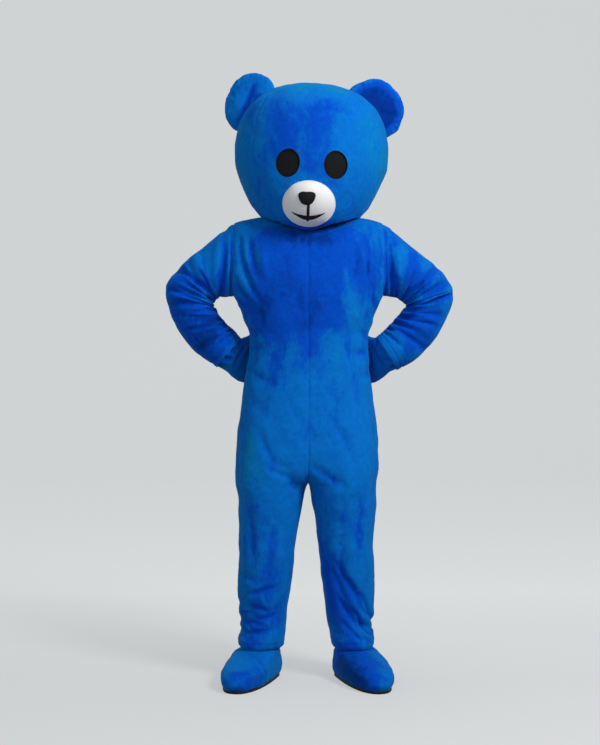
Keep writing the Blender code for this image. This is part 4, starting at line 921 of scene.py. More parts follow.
# Folds of the ears, in their own width and height: the columns of the suit's creases
EAR_FOLDS = {
    "left": [
        (-0.008, -0.015, 80, 0.070, 0.0100, 0.0075),
        (0.024, 0.024, 32, 0.018, 0.0065, 0.0045),
        (0.034, -0.006, 118, 0.022, 0.0065, 0.0045),
        (-0.050, 0.030, 60, 0.030, 0.0100, 0.0025),
    ],
    "right": [
        (-0.034, -0.030, 104, 0.060, 0.0120, 0.0050),
        (0.010, 0.045, 20, 0.030, 0.0100, 0.0030),
        (0.035, -0.040, 140, 0.030, 0.0100, 0.0030),
    ],
}

# Mitt creases: row, angle in units of 60 degrees, turn, half length, half width, depth
MITT_CREASES = [
    (12.5, 0.5, 14, 0.5, 0.17, 0.0060),
    (12.6, 1.1, 8, 0.6, 0.16, 0.0075),
    (12.5, 1.7, -6, 0.6, 0.17, 0.0080),
    (12.6, 2.3, -14, 0.6, 0.17, 0.0070),
    (12.5, 2.8, 10, 0.5, 0.17, 0.0060),
    (12.6, -0.8, 12, 0.6, 0.17, 0.0065),
    (12.5, -1.6, -8, 0.6, 0.18, 0.0070),
    (12.6, -2.4, 10, 0.6, 0.17, 0.0060),
    (13.8, 1.5, 70, 0.7, 0.30, 0.0060),
    (14.9, 2.1, 84, 0.7, 0.28, 0.0060),
    (15.8, 1.3, 88, 0.9, 0.32, 0.0055),
    (14.6, -1.6, 80, 0.9, 0.32, 0.0060),
]


# Where the nap lies: brushed down it is deep royal blue, brushed up it is a brighter azure.
# Strong patches also paint light and shade: well past royal the colour darkens into painted
# shade, and well past azure a teal tint is partly painted sheen. Each row is an oval patch: x,
# height, half width, half height, turn in degrees, and how much it turns the nap, above 0 towards
# royal. The first table is for what faces the front, the other for the back and sides.
NAP_FRONT = [
    (-0.030, 0.290, 0.095, 0.130, 8, 0.55),
    (-0.090, 0.250, 0.050, 0.110, 12, 0.25),
    (0.060, 0.280, 0.055, 0.120, 6, 0.15),
    (0.110, 0.150, 0.050, 0.100, -8, -0.10),
    (-0.130, 0.170, 0.045, 0.060, -20, 0.15),
    # Partly painted sheen: the head's top and sides, low enough for the teal tint
    (0.020, 0.425, 0.160, 0.045, 0, -0.75),
    (0.215, 0.190, 0.050, 0.180, 8, -0.75),
    (-0.205, 0.190, 0.045, 0.180, -8, -0.45),
    # Painted shade along the left ear's fold
    (-0.180, 0.385, 0.022, 0.070, -10, 0.55),
    # Painted shadow of the head on the chest below it and under the chin
    (0.010, -0.035, 0.120, 0.040, 0, 1.10),
    (0.020, -0.130, 0.170, 0.150, 0, 0.95),
    (-0.060, -0.270, 0.110, 0.110, 14, 0.70),
    # Painted shade beside the left armpit
    (-0.140, -0.240, 0.035, 0.090, 0, 0.90),
    (0.060, -0.330, 0.090, 0.100, -8, 0.60),
    (0.010, -0.440, 0.055, 0.060, 0, 0.45),
    (-0.080, -0.460, 0.050, 0.060, 14, 0.30),
    (0.126, -0.225, 0.024, 0.090, 6, -0.62),
    (0.148, -0.315, 0.020, 0.085, 0, -0.50),
    (0.080, -0.375, 0.026, 0.060, 14, -0.60),
    (-0.180, -0.140, 0.030, 0.110, 6, -0.35),
    (0.070, -0.560, 0.030, 0.090, 10, 0.20),
    (0.200, -0.640, 0.040, 0.140, 0, -0.45),
    (-0.215, -0.700, 0.030, 0.120, 0, -0.30),
    (-0.120, -0.720, 0.100, 0.180, 0, -0.22),
    (0.110, -0.720, 0.090, 0.180, 0, -0.18),
    (-0.130, -1.170, 0.060, 0.100, 0, 0.45),
    (-0.150, -1.270, 0.060, 0.060, 0, 0.25),
    (0.060, -1.080, 0.050, 0.130, 10, 0.45),
    (0.120, -1.200, 0.060, 0.090, 12, 0.50),
    (0.330, -0.160, 0.060, 0.060, 35, 0.35),
    (0.400, -0.230, 0.045, 0.070, 0, 0.25),
    (0.345, -0.330, 0.080, 0.080, -35, 0.50),
    (-0.290, -0.120, 0.050, 0.070, -30, -0.10),
    (-0.400, -0.220, 0.050, 0.070, -10, 0.40),
    # Painted shade on the left forearm
    (-0.360, -0.330, 0.085, 0.080, 35, 1.35),
    (-0.285, -0.375, 0.060, 0.060, 30, 0.75),
    (-0.145, -0.090, 0.045, 0.080, 0, 0.60),
    (-0.235, -0.430, 0.040, 0.070, 0, -0.35),
    (0.245, -0.430, 0.040, 0.070, 0, -0.20),
    (-0.180, -1.395, 0.060, 0.045, 0, 0.40),
    # Painted shade on the right boot
    (0.130, -1.395, 0.070, 0.070, 0, 1.90),
]
NAP_BACK = [
    (0.000, 0.330, 0.150, 0.120, 0, 0.45),
    (-0.090, 0.150, 0.080, 0.100, 20, 0.30),
    (0.120, 0.200, 0.070, 0.120, -14, -0.25),
    (0.060, -0.140, 0.120, 0.120, -10, 0.60),
    (-0.100, -0.200, 0.090, 0.140, 8, 0.55),
    (0.090, -0.420, 0.080, 0.090, 0, 0.35),
    (-0.070, -0.560, 0.090, 0.080, 12, 0.30),
    (0.100, -0.720, 0.070, 0.120, 0, 0.25),
    (-0.140, -0.950, 0.050, 0.150, 0, 0.25),
    (0.150, -1.130, 0.060, 0.110, 0, 0.35),
    (0.330, -0.180, 0.070, 0.090, 20, 0.35),
    (-0.360, -0.220, 0.060, 0.090, -20, 0.35),
]


CREASE_MOST = 0.012  # the depth past which a crease gets no more painted shade
CREASE_PAINTED_SHADE = 75  # how much painted shade a crease gets, in nap value for each metre of its depth


def nap(points, base=0.0):
    """How far the nap lies towards royal at each point. Well past royal the value paints shade, and
    well past azure it paints part of the sheen. It is the base, plus each patch's strength times a
    flat-topped bump that falls off at the patch's oval, blended from the front's patches to the
    back's by how far the point lies behind the middle."""
    x, y, z = points[..., 0], points[..., 1], points[..., 2]
    totals = []
    for table in (NAP_FRONT, NAP_BACK):
        total = base + np.zeros(x.shape)
        for middle_x, middle_z, half_x, half_z, turn, strength in table:
            c, s = math.cos(math.radians(turn)), math.sin(math.radians(turn))
            across, up = x - middle_x, z - middle_z
            a = (across * c + up * s) / half_x
            b = (up * c - across * s) / half_z
            total = total + strength * np.exp(-((a * a + b * b) ** 1.6))
        totals.append(total)
    behind = np.clip((y + 0.02) / 0.06, 0, 1)
    return totals[0] * (1 - behind) + totals[1] * behind


def nap_with_crease_shade(grid, creases, before=0, after=0):
    """The nap at each corner, with painted shade in the creases, the darker the deeper. The rows
    turned round an edge, before or after those of the creases, are as creased as the row they start
    from."""
    closed = np.pad(np.clip(-creases, 0, CREASE_MOST), ((before, after), (0, 0)), mode="edge")
    return nap(grid) + closed * CREASE_PAINTED_SHADE


# Materials: one node group for the plush, one for woven things


def group(name, inputs, outputs):
    """A shader node group with its inputs as (name, kind, value) and its outputs as (name, kind)."""
    made = bpy.data.node_groups.new(name, "ShaderNodeTree")
    for label, kind, value in inputs:
        socket = made.interface.new_socket(label, in_out="INPUT", socket_type=f"NodeSocket{kind}")
        socket.default_value = value
    for label, kind in outputs:
        made.interface.new_socket(label, in_out="OUTPUT", socket_type=f"NodeSocket{kind}")
    return made


def wire(tree, kind, at, links=None, **settings):
    """A node with its settings, and its inputs set from links: a socket to join, or a value."""
    node = tree.nodes.new(f"ShaderNode{kind}")
    node.location = at
    for name, value in settings.items():
        setattr(node, name, value)
    for name, value in (links or {}).items():
        if isinstance(value, bpy.types.NodeSocket):
            tree.links.new(value, node.inputs[name])
        else:
            node.inputs[name].default_value = value
    return node


def noise(tree, at, place, scale, detail, roughness, distortion=0.0):
    """A noise from 0 to 1 over places."""
    links = {"Vector": place, "Scale": scale, "Detail": detail, "Roughness": roughness}
    return wire(tree, "TexNoise", at, {**links, "Distortion": distortion}).outputs["Fac"]


def math_node(tree, at, operation, a, b):
    """The result of one sum on two numbers or sockets."""
    return wire(tree, "Math", at, {0: a, 1: b}, operation=operation).outputs[0]


def ramp(tree, at, value, low, high):
    """The value as a smooth step from 0 at low to 1 at high."""
    links = {"Value": value, "From Min": low, "From Max": high}
    return wire(tree, "MapRange", at, links, interpolation_type="SMOOTHSTEP").outputs["Result"]


def mix(tree, at, share, a, b, blend="MIX"):
    """Two colours or sockets mixed by a share."""
    node = wire(tree, "Mix", at, {0: share}, data_type="RGBA", blend_type=blend)
    for socket, value in ((node.inputs[6], a), (node.inputs[7], b)):
        if isinstance(value, bpy.types.NodeSocket):
            tree.links.new(value, socket)
        else:
            socket.default_value = value
    return node.outputs[2]


def plush_group():
    """Short pile. The colour goes from azure to royal as the nap value plus ragged noise crosses a
    soft step. Well below the step a teal tint paints part of the sheen's light into the colour. Well
    above it a darker tint is painted shade. It is mottled a little, and has painted shade in the
    gaps between tufts. The height adds brushed streaks, clumps and tufts."""
    made = group(
        "plush pile",
        [("Azure", "Color", (0.01, 0.1, 0.5, 1)), ("Royal", "Color", (0.0, 0.05, 0.5, 1)),
         ("Nap", "Float", 0.0), ("Raggedness", "Float", 1.0), ("Bump", "Float", 0.5)],
        [("Color", "Color"), ("Roughness", "Float"), ("Normal", "Vector")],
    )
    inside, outside = made.nodes.new("NodeGroupInput"), made.nodes.new("NodeGroupOutput")
    place = wire(made, "TexCoord", (-1600, 0)).outputs["Object"]
    tall = wire(made, "Mapping", (-1400, 300), {"Vector": place, "Scale": (1.0, 1.0, 0.45)})
    patches = noise(made, (-1200, 400), tall.outputs[0], 12.0, 4.0, 0.55, 0.6)
    streaks = noise(made, (-1200, 150), tall.outputs[0], 60.0, 4.0, 0.58, 1.0)
    mottle = noise(made, (-1200, -100), place, 90.0, 3.0, 0.55, 0.4)
    clumps = noise(made, (-1200, -350), place, 260.0, 3.0, 0.6, 0.6)
    tufts = noise(made, (-1200, -600), place, 950.0, 2.0, 0.6)
    broad = math_node(made, (-1000, 400), "MULTIPLY_ADD", patches, 2.2)
    broad.node.inputs[2].default_value = -1.10
    narrow = math_node(made, (-1000, 150), "MULTIPLY_ADD", streaks, 1.3)
    narrow.node.inputs[2].default_value = -0.65
    ragged = math_node(made, (-800, 300), "ADD", broad, narrow)
    ragged = math_node(made, (-650, 300), "MULTIPLY", ragged, inside.outputs["Raggedness"])
    laid = math_node(made, (-500, 300), "ADD", ragged, inside.outputs["Nap"])
    royal = ramp(made, (-350, 300), laid, -0.10, 0.72)
    colour = mix(made, (-150, 300), royal, inside.outputs["Azure"], inside.outputs["Royal"])
    # Partly painted sheen: well below the step a teal tint raises the green and lowers the blue, as grazing
    # sheen does
    up = ramp(made, (-350, 650), laid, -1.00, -0.25)
    tint = mix(made, (-150, 650), up, (1.0, 1.30, 0.84, 1), (1.0, 1.0, 1.0, 1))
    # Painted shade: well past the royal step the colour is multiplied darker, for places that lie in shade
    down = ramp(made, (-350, 900), laid, 0.95, 1.90)
    tint = mix(made, (50, 700), down, tint, (0.5, 0.45, 0.50, 1))
    colour = mix(made, (50, 450), 1.0, colour, tint, "MULTIPLY")
    spots = ramp(made, (-1000, -100), mottle, 0.30, 0.70)
    spotted = mix(made, (50, 200), spots, (0.91, 0.91, 0.92, 1), (1.07, 1.07, 1.06, 1))
    colour = mix(made, (250, 300), 1.0, colour, spotted, "MULTIPLY")
    # Painted shade in the gaps between tufts: the tuft noise darkens the colour there
    gaps = ramp(made, (-1000, -600), tufts, 0.30, 0.60)
    shaded = mix(made, (50, 0), gaps, (0.80, 0.80, 0.82, 1), (1.06, 1.06, 1.06, 1))
    colour = mix(made, (450, 300), 1.0, colour, shaded, "MULTIPLY")
    made.links.new(colour, outside.inputs["Color"])
    rough = wire(made, "MapRange", (50, -200), {"Value": clumps, "To Min": 0.66, "To Max": 0.88})
    made.links.new(rough.outputs["Result"], outside.inputs["Roughness"])
    brushed = math_node(made, (-700, -300), "MULTIPLY", streaks, 1.2)
    clumped = math_node(made, (-700, -500), "MULTIPLY", clumps, 0.9)
    height = math_node(made, (-500, -400), "ADD", brushed, clumped)
    height = math_node(made, (-350, -500), "ADD", height, tufts)
    links = {"Strength": inside.outputs["Bump"], "Distance": 0.0018, "Height": height}
    bump = wire(made, "Bump", (-100, -450), links)
    made.links.new(bump.outputs["Normal"], outside.inputs["Normal"])
    return made


def grouped(tree, shader, name, values):
    """Sets a node group into a material with its own values, and joins what it gives to the
    shader's sockets of the same effect."""
    made = tree.nodes.new("ShaderNodeGroup")
    made.node_tree = bpy.data.node_groups[name]
    made.location = (-300, 200)
    for socket, value in values.items():
        made.inputs[socket].default_value = value
    for given in made.outputs:
        target = "Base Color" if given.name == "Color" else given.name
        tree.links.new(given, shader.inputs[target])
    return made


def shader_material(name, roughness=0.8, sheen=0.0, tint=(1, 1, 1), metallic=0.0, specular=0.5, colour=None):
    """A material with one shader, whose even values are on the shader's own sockets."""
    made = bpy.data.materials.new(name)
    made.use_nodes = True
    shader = made.node_tree.nodes["Principled BSDF"]
    shader.inputs["Roughness"].default_value = roughness
    shader.inputs["Metallic"].default_value = metallic
    shader.inputs["Specular IOR Level"].default_value = specular
    shader.inputs["Sheen Weight"].default_value = sheen
    shader.inputs["Sheen Roughness"].default_value = 0.45
    shader.inputs["Sheen Tint"].default_value = (*tint, 1)
    if colour:
        shader.inputs["Base Color"].default_value = (*colour, 1)
    return made, made.node_tree, shader


def plush(name, sheen, raggedness):
    """Plush of two nap colours, with the piece's own nap values where it has them."""
    made, tree, shader = shader_material(name, 0.8, sheen, TEAL_SHEEN, specular=0.02)
    values = {"Azure": AZURE, "Royal": ROYAL, "Raggedness": raggedness}
    pile = grouped(tree, shader, "plush pile", values)
    mark = wire(tree, "Attribute", (-550, 200), attribute_name="nap")
    tree.links.new(mark.outputs["Fac"], pile.inputs["Nap"])
    return made


def weave_group():
    """A plain weave across the piece's own x and z: two sine waves at right angles, in threads to
    the metre, each the stronger where the other is low, with a little uneven shade."""
    made = group(
        "plain weave",
        [("Thread", "Color", (0.1, 0.1, 0.1, 1)), ("Gap", "Color", (0, 0, 0, 1)),
         ("Threads", "Float", 100.0), ("Bump", "Float", 0.4)],
        [("Color", "Color"), ("Normal", "Vector")],
    )
    inside, outside = made.nodes.new("NodeGroupInput"), made.nodes.new("NodeGroupOutput")
    place = wire(made, "TexCoord", (-1400, 0)).outputs["Object"]
    turned = wire(made, "Mapping", (-1200, 0), {"Vector": place, "Rotation": (0, math.pi / 4, 0)})
    parts = wire(made, "SeparateXYZ", (-1000, 0), {0: turned.outputs[0]})
    waves_made = []
    for number, axis in enumerate("XZ"):
        threads = inside.outputs["Threads"]
        turn = math_node(made, (-800, -200 * number), "MULTIPLY", parts.outputs[axis], threads)
        turn = math_node(made, (-650, -200 * number), "MULTIPLY", turn, 2 * math.pi)
        waves_made.append(math_node(made, (-500, -200 * number), "SINE", turn, 0.0))
    over = math_node(made, (-300, 0), "MAXIMUM", waves_made[0], waves_made[1])
    share = ramp(made, (-150, 0), over, 0.1, 0.9)
    uneven = noise(made, (-500, -450), place, 160.0, 3.0, 0.6)
    colour = mix(made, (100, 0), share, inside.outputs["Gap"], inside.outputs["Thread"])
    tone = mix(made, (100, -250), uneven, (0.75, 0.75, 0.75, 1), (1.25, 1.25, 1.25, 1))
    colour = mix(made, (300, 0), 1.0, colour, tone, "MULTIPLY")
    made.links.new(colour, outside.inputs["Color"])
    links = {"Strength": inside.outputs["Bump"], "Distance": 0.0008, "Height": share}
    bump = wire(made, "Bump", (100, -500), links)
    made.links.new(bump.outputs["Normal"], outside.inputs["Normal"])
    return made


def woven(name, thread, gap, threads, roughness):
    """A plain weave of one thread colour over dark gaps, in threads to the metre."""
    made, tree, shader = shader_material(name, roughness, specular=0.08)
    values = {"Thread": (*thread, 1), "Gap": (*gap, 1), "Threads": threads}
    grouped(tree, shader, "plain weave", values)
    return made


def speckled(name, dark, light, scale, roughness, metallic=0.0, bump=0.2, specular=0.12, sheen=0.0):
    """Two near shades in a fine uneven mix, with roughness and grain to match, for short plush,
    felt, rubber and metal."""
    made, tree, shader = shader_material(name, roughness, sheen, metallic=metallic, specular=specular)
    place = wire(tree, "TexCoord", (-900, 0)).outputs["Object"]
    grain = noise(tree, (-700, 0), place, scale, 4.0, 0.65)
    tone = mix(tree, (-450, 150), grain, (*dark, 1), (*light, 1))
    span = {"Value": grain, "To Min": roughness - 0.12, "To Max": roughness + 0.1}
    rough = wire(tree, "MapRange", (-450, -100), span)
    relief = {"Strength": bump, "Distance": 0.0003, "Height": grain}
    grained = wire(tree, "Bump", (-250, -300), relief)
    tree.links.new(tone, shader.inputs["Base Color"])
    tree.links.new(rough.outputs["Result"], shader.inputs["Roughness"])
    tree.links.new(grained.outputs["Normal"], shader.inputs["Normal"])
    return made


plush_group()
weave_group()
AZURE, ROYAL = (0.0018, 0.145, 0.545, 1), (0.0010, 0.066, 0.505, 1)
TEAL_SHEEN = (0.01, 0.48, 0.85)
blue_plush = plush("blue plush", sheen=0.27, raggedness=1.0)
head_plush = plush("head plush", sheen=0.24, raggedness=0.9)
pale_plush = speckled(
    "pale plush", (0.70, 0.705, 0.71), (0.76, 0.765, 0.77), scale=800.0, roughness=0.88, bump=0.5,
    specular=0.04, sheen=0.7,
)
black_felt = speckled(
    "black felt", (0.005, 0.005, 0.006), (0.012, 0.012, 0.013), scale=900.0, roughness=0.8, bump=0.5
)
eye_mesh = woven("eye mesh", (0.010, 0.011, 0.013), (0.001, 0.001, 0.0015), 520.0, 0.7)
sole_rubber = speckled(
    "sole rubber", (0.008, 0.008, 0.009), (0.016, 0.016, 0.018), scale=400.0, roughness=0.65
)
tape_weave = woven("zip tape weave", (0.008, 0.035, 0.150), (0.002, 0.010, 0.05), 900.0, 0.8)
zip_metal = speckled(
    "zip metal", (0.50, 0.51, 0.53), (0.62, 0.63, 0.65), scale=700.0, roughness=0.32, metallic=1.0,
    bump=0.08, specular=0.5,
)


# The costume's own pieces

# height, and the angle that the columns are spread over before they close up at the seam
COLUMN_SPREAD = np.array([
    (HEM, math.pi), (CROTCH, math.pi), (-0.762, 2.75), (-0.730, 2.5), (-0.690, 2.25),
    (-0.640, 1.95), (-0.550, math.pi / 2),
])
PILE = 0.0026  # how far the pile stands over the solids' cloth
BANK = 0.0048  # how far from a sewn seam the pile rises again
PUCKER, PUCKER_REACH = 0.0016, 0.014  # how deep a seam's puckers are, and how far they reach
FREE = 0.008  # how far from a seam creases and clumps begin
STITCH_DEPTH, STITCH_HALF = 0.0019, 0.0024
HEM_STITCHES, HEM_TURN = 0.019, 0.016  # from the trouser hem's edge, outside and turned in
CUFF_STITCHES, CUFF_TURN = 0.017, 0.014
RIM_TURN = 0.020
SEEDS = {"left": (0.7, 1.1), "right": (2.3, 3.2)}  # of the seams' puckers, for suit and sleeve


def repeated(rows, columns):
    """A row value and a column value for each corner of a grid."""
    return np.meshgrid(rows, columns, indexing="ij")


def bank(distance, along, seed):
    """How the pile stands beside a sewn seam: nothing on the line, its full height 10 mm away, with
    uneven puckers across the line that fade out over 25 mm."""
    rise = 1 - np.exp(-((distance / BANK) ** 2))
    uneven = np.sin(along / 0.0165 + 2.1 * np.sin(along / 0.061 + seed)) * np.sin(along / 0.043 + seed)
    return rise * (PILE + PUCKER * np.exp(-distance / PUCKER_REACH) * uneven)


def along_and_left(grid, axis):
    """The length along a grid's lines so far, and what is left of each line."""
    so_far = arc_along(grid, axis)
    return so_far, np.take(so_far, [-1], axis=axis) - so_far


def plush_relief(grid, out, seam_distances, walked, creases, seed):
    """The grid moved out along its normals by the pile, the banks of its seams and its creases. All
    of it is nothing on the seams themselves, so that neighbours meet there."""
    nearest = seam_distances[0]
    for distance in seam_distances[1:]:
        nearest = np.minimum(nearest, distance)
    free = 1 - np.exp(-((nearest / FREE) ** 2))
    soft = 0.0016 * waves(grid, seed=11, wavelength=0.11, count=12)
    height = bank(nearest, walked, seed) + free * (creases + soft + pile_relief(grid))
    return grid + height[..., None] * out


def stitch_line(distance, at):
    """A line of stitches pressed into the pile at a set distance from an edge."""
    return -STITCH_DEPTH * np.exp(-(((distance - at) / STITCH_HALF) ** 2))


def own_half(side, x):
    """The x places, with those past the middle plane brought back onto it."""
    return SIDES[side] * np.maximum(x * SIDES[side], 0)


def suit_panel(side, facing):
    """One quarter of the suit: from the centre or inside-leg seam round to the side seam or the
    armhole, and from the hem to the neck."""
    turn = {"front": -1, "back": 1}[facing]
    rise = (1 - np.cos(np.linspace(0, math.pi, 72))) / 2
    rows = np.concatenate([
        np.linspace(HEM, CROTCH, 142), np.linspace(CROTCH + 0.002, ARMPIT, 166)[:-1],
        ARMPIT + (SHOULDER_TIP - ARMPIT) * rise, np.linspace(SHOULDER_TIP, NECK, 9)[1:],
    ])
    height, share = repeated(rows, np.linspace(0, 1, 86))
    middle = suit_ring(side, height)[6] * turn
    edge = armhole_angle(side, height) * turn
    span = middle - edge
    spread = smooth(height, COLUMN_SPREAD[:, 0], COLUMN_SPREAD[:, 1]) * turn
    lead = np.where(height < COLUMN_SPREAD[-1, 0], spread, span)
    angle = edge + lead * (1 - share) + (span - lead) * (1 - share) ** 3
    grid = suit_surface(side, height, angle)
    grid[..., 0] = own_half(side, grid[..., 0])
    axis = grid * [0, 0, 1] + [SIDES[side] * 0.11, 0, 0]
    out = outwards(grid, axis)
    from_centre, from_side = along_and_left(grid, 1)
    armhole = (height[:, -1:] > ARMPIT) & (height[:, -1:] < SHOULDER_TIP)
    short = np.where(armhole, ARMHOLE_X - np.abs(grid[:, -1:, 0]), 0)
    grid[..., 0] += SIDES[side] * short * np.exp(-((from_side / 0.035) ** 2))
    walked = arc_along(grid, 0)
    creases = folds(arc_round(height, angle), height, SUIT_CREASES[side])
    creases = creases + stitch_line(walked, HEM_STITCHES)
    seams = (from_centre, from_side)
    grid = plush_relief(grid, out, seams, walked, creases, SEEDS[side][0])
    grid[..., 0] = own_half(side, grid[..., 0])
    out = outwards(grid, axis)
    grid = turned_edge(grid, out, False, HEM_TURN, CLOTH)
    out = outwards(grid, grid * [0, 0, 1] + [SIDES[side] * 0.11, 0, 0])
    marks = {"nap": nap_with_crease_shade(grid, creases, before=len(grid) - len(creases))}
    return grid_piece(f"suit_{facing}_{side}_cloth", grid, out, blue_plush, marks=marks)


def sleeve(side):
    """A sleeve, closed round the arm, from a seam allowance inside the armhole to its hemmed cuff,
    with a seam under it."""
    turn = np.linspace(0, 2 * math.pi, 118, endpoint=False)
    place, angle = repeated(np.linspace(0, CUFF_PLACE, 172), turn)
    grid = sleeve_surface(side, place, angle)
    out = ring_outwards(grid)
    walked, left = along_and_left(grid, 0)
    under = np.abs(angle - math.pi) * 0.075 + 0.0015
    creases = folds(place, sixths(angle), SLEEVE_CREASES[side])
    creases = creases * np.clip((CUFF_PLACE - place) / 1.0, 0, 1) + stitch_line(left, CUFF_STITCHES)
    grid = plush_relief(grid, out, (walked, under), walked, creases, SEEDS[side][1])
    out = ring_outwards(grid)
    into_body = np.array([-SIDES[side], 0, 0])
    allowance = [grid[0] + into * into_body - 0.6 * into * out[0] for into in (0.009, 0.004)]
    grid = np.concatenate([np.array(allowance), grid])
    out = np.concatenate([out[:1], out[:1], out])
    grid = turned_edge(grid, out, True, CUFF_TURN, CLOTH)
    out = ring_outwards(grid)
    marks = {"nap": nap_with_crease_shade(grid, creases, 2, len(grid) - len(creases) - 2)}
    return grid_piece(f"sleeve_{side}_cloth", grid, out, blue_plush, True, marks)


def mitt(side):
    """A mitt from inside the cuff to the finger ends."""
    turn = np.linspace(0, 2 * math.pi, 104, endpoint=False)
    place, angle = repeated(np.linspace(CUFF_PLACE - 0.7, FINGER_ROW, 118), turn)
    grid = mitt_surface(side, place, angle)
    tip = np.array([SIDES[side] * FINGER_END[0], *FINGER_END[1:]])
    closing = np.linspace(0, 1, TIP_RINGS + 1)[1:, None, None]
    last = grid[-1][None]
    ring = tip + (last - tip) * np.sqrt(1 - closing**2)
    grid = np.concatenate([grid, ring])
    place = np.concatenate([place, np.full((TIP_RINGS, place.shape[1]), FINGER_ROW)])
    angle = np.concatenate([angle, angle[:TIP_RINGS]])
    out = ring_outwards(grid)
    out[-1] = unit(tip - last.mean(axis=1))
    creases = folds(place, sixths(angle), MITT_CREASES)
    inside = np.clip((place - CUFF_PLACE + 0.25) / 0.6, 0, 1)
    height = inside * (PILE * 0.6 + creases + pile_relief(grid))
    height[-1] = height[-1].mean()
    grid = grid + height[..., None] * out
    out = ring_outwards(grid)
    out[-1] = unit(tip - last.mean(axis=1))
    marks = {"nap": nap_with_crease_shade(grid, creases)}
    return grid_piece(f"glove_{side}_cloth", grid, out, blue_plush, True, marks)


# Gores of the head: the azimuths between which each lies, 0 being the front, and its columns
GORES = {
    "head_face": (-48, 48, 132),
    "head_side_right": (48, 116, 88),
    "head_back": (116, 244, 140),
    "head_side_left": (244, 312, 88),
}


def eye_x(side):
    """How far across the head an eye's middle lies."""
    return EYE_MIDDLE + SIDES[side] * EYE_APART / 2


def eye_reach(places, side):
    """How far a place seen from the front lies from an eye's middle, as a share of its size."""
    x = places[..., 0] - eye_x(side)
    z = places[..., 2] - EYE_HEIGHT
    return np.hypot(x / EYE_SIZE[0], z / EYE_SIZE[1])


def cut_eye_hole(points, faces, side):
    """Takes away the faces inside an eye and draws the corners left at its edge onto the oval."""
    places = to_head(points)
    reach = eye_reach(places, side)
    inside = (reach < 1) & (places[:, 1] < 0)
    faces = faces[~inside[faces].all(axis=1)]
    kept = np.zeros(len(points), bool)
    kept[faces] = True
    edge = np.flatnonzero(inside & kept)
    middle = np.array([eye_x(side), 0, EYE_HEIGHT])
    moved = middle + (places[edge] - middle) / reach[edge, None]
    moved[:, 1] = places[edge, 1]
    points[edge] = head_place(moved)
    return points, faces


def used_corners(points, faces):
    """The corners that some face uses, and the faces by their new numbers."""
    used = np.unique(faces)
    number = np.full(len(points), -1)
    number[used] = np.arange(len(used))
    return points[used], number[faces]


def head_gore(name):
    """One gore of the head: from the crown to the rim between two azimuths, with its seams sunk,
    and on the face the two eye holes."""
    start, stop, columns = GORES[name]
    azimuth = np.radians(np.linspace(start, stop, columns + 1))
    share = np.linspace(0, 1, 190)[:, None] ** 0.9
    place = 0.004 + (rim_place(azimuth)[None, :] - 0.004) * share
    turned = np.repeat(azimuth[None, :], len(share), axis=0)
    grid = head_surface(place, turned)
    grid[0] = head_place(np.array([0.0, 0.0, HEAD[0, 0]]))
    out = outwards(grid, HEAD_MIDDLE)
    out[:2] = head_place(np.array([0.0, 0.0, 1.0])) - HEAD_MIDDLE
    walked = arc_along(grid, 0)
    grid = plush_relief(grid, out, along_and_left(grid, 1), walked, 0.0, start / 20)
    out = outwards(grid, HEAD_MIDDLE)
    rows = grid.shape[0]
    grid = turned_edge(grid, out, True, RIM_TURN, SHELL)
    points = grid.reshape(-1, 3)
    faces = quads(grid.shape[0], grid.shape[1], False)
    out = outwards(grid, HEAD_MIDDLE)
    out[rows + 4:] *= -1
    flip = not facing_out(faces, points, out.reshape(-1, 3))
    if name == "head_face":
        for side in SIDES:
            points, faces = cut_eye_hole(points, faces, side)
    points, faces = used_corners(points, faces)
    marks = {"nap": nap(points)}
    return mesh_piece(f"{name}_cloth", points, faces, head_plush, marks, flip)


def oval_ring(side, grow, back, around):
    """Places round an eye's edge, grown outwards and set back behind the face's own front."""
    turn = np.linspace(0, 2 * math.pi, around, endpoint=False)
    x = eye_x(side) + (EYE_SIZE[0] + grow) * np.cos(turn)
    z = EYE_HEIGHT + (EYE_SIZE[1] + grow) * np.sin(turn)
    return np.stack([x, face_depth(x, z) + back, z], -1)


def eye_rim(side):
    """The black binding round an eye hole: a round cord on the plush's cut edge, then a short wall
    back to the mesh."""
    turn = np.radians([150, 115, 85, 60, 35, 10, -20, -50]) - math.pi / 2
    cord = [(EYE_CORD * math.sin(a) - 0.0004, -EYE_CORD * math.cos(a)) for a in turn]
    profile = cord + [(-0.0022, 0.0022), (-0.0020, 0.0042)]
    grid = head_place(np.array([oval_ring(side, grow, back, 140) for grow, back in profile]))
    out = grid_normals(grid, True)
    if np.sum(out[3] * [0, -1, 0]) < 0:
        out = -out
    return grid_piece(f"eye_rim_{side}", grid, out, black_felt, True)


def disc_grid(middle, size, rings, around):
    """Places over a flat oval, as rings from the middle out: x and z in head coordinates."""
    radius = np.linspace(0, 1, rings + 1)[:, None] ** 0.85
    turn = np.linspace(0, 2 * math.pi, around, endpoint=False)[None, :]
    x = middle[0] + size[0] * radius * np.cos(turn)
    z = middle[1] + size[1] * radius * np.sin(turn)
    return x, z, np.repeat(radius, around, axis=1)


def eye(side):
    """The see-through mesh behind an eye hole, slightly domed as the face is."""
    size = (EYE_SIZE[0] + 0.001, EYE_SIZE[1] + 0.001)
    x, z, _ = disc_grid((eye_x(side), EYE_HEIGHT), size, rings=14, around=84)
    grid = head_place(np.stack([x, face_depth(x, z) + EYE_RECESS, z], -1))
    out = towards_front(grid)
    return grid_piece(f"eye_{side}_mesh", grid, out, eye_mesh, True)


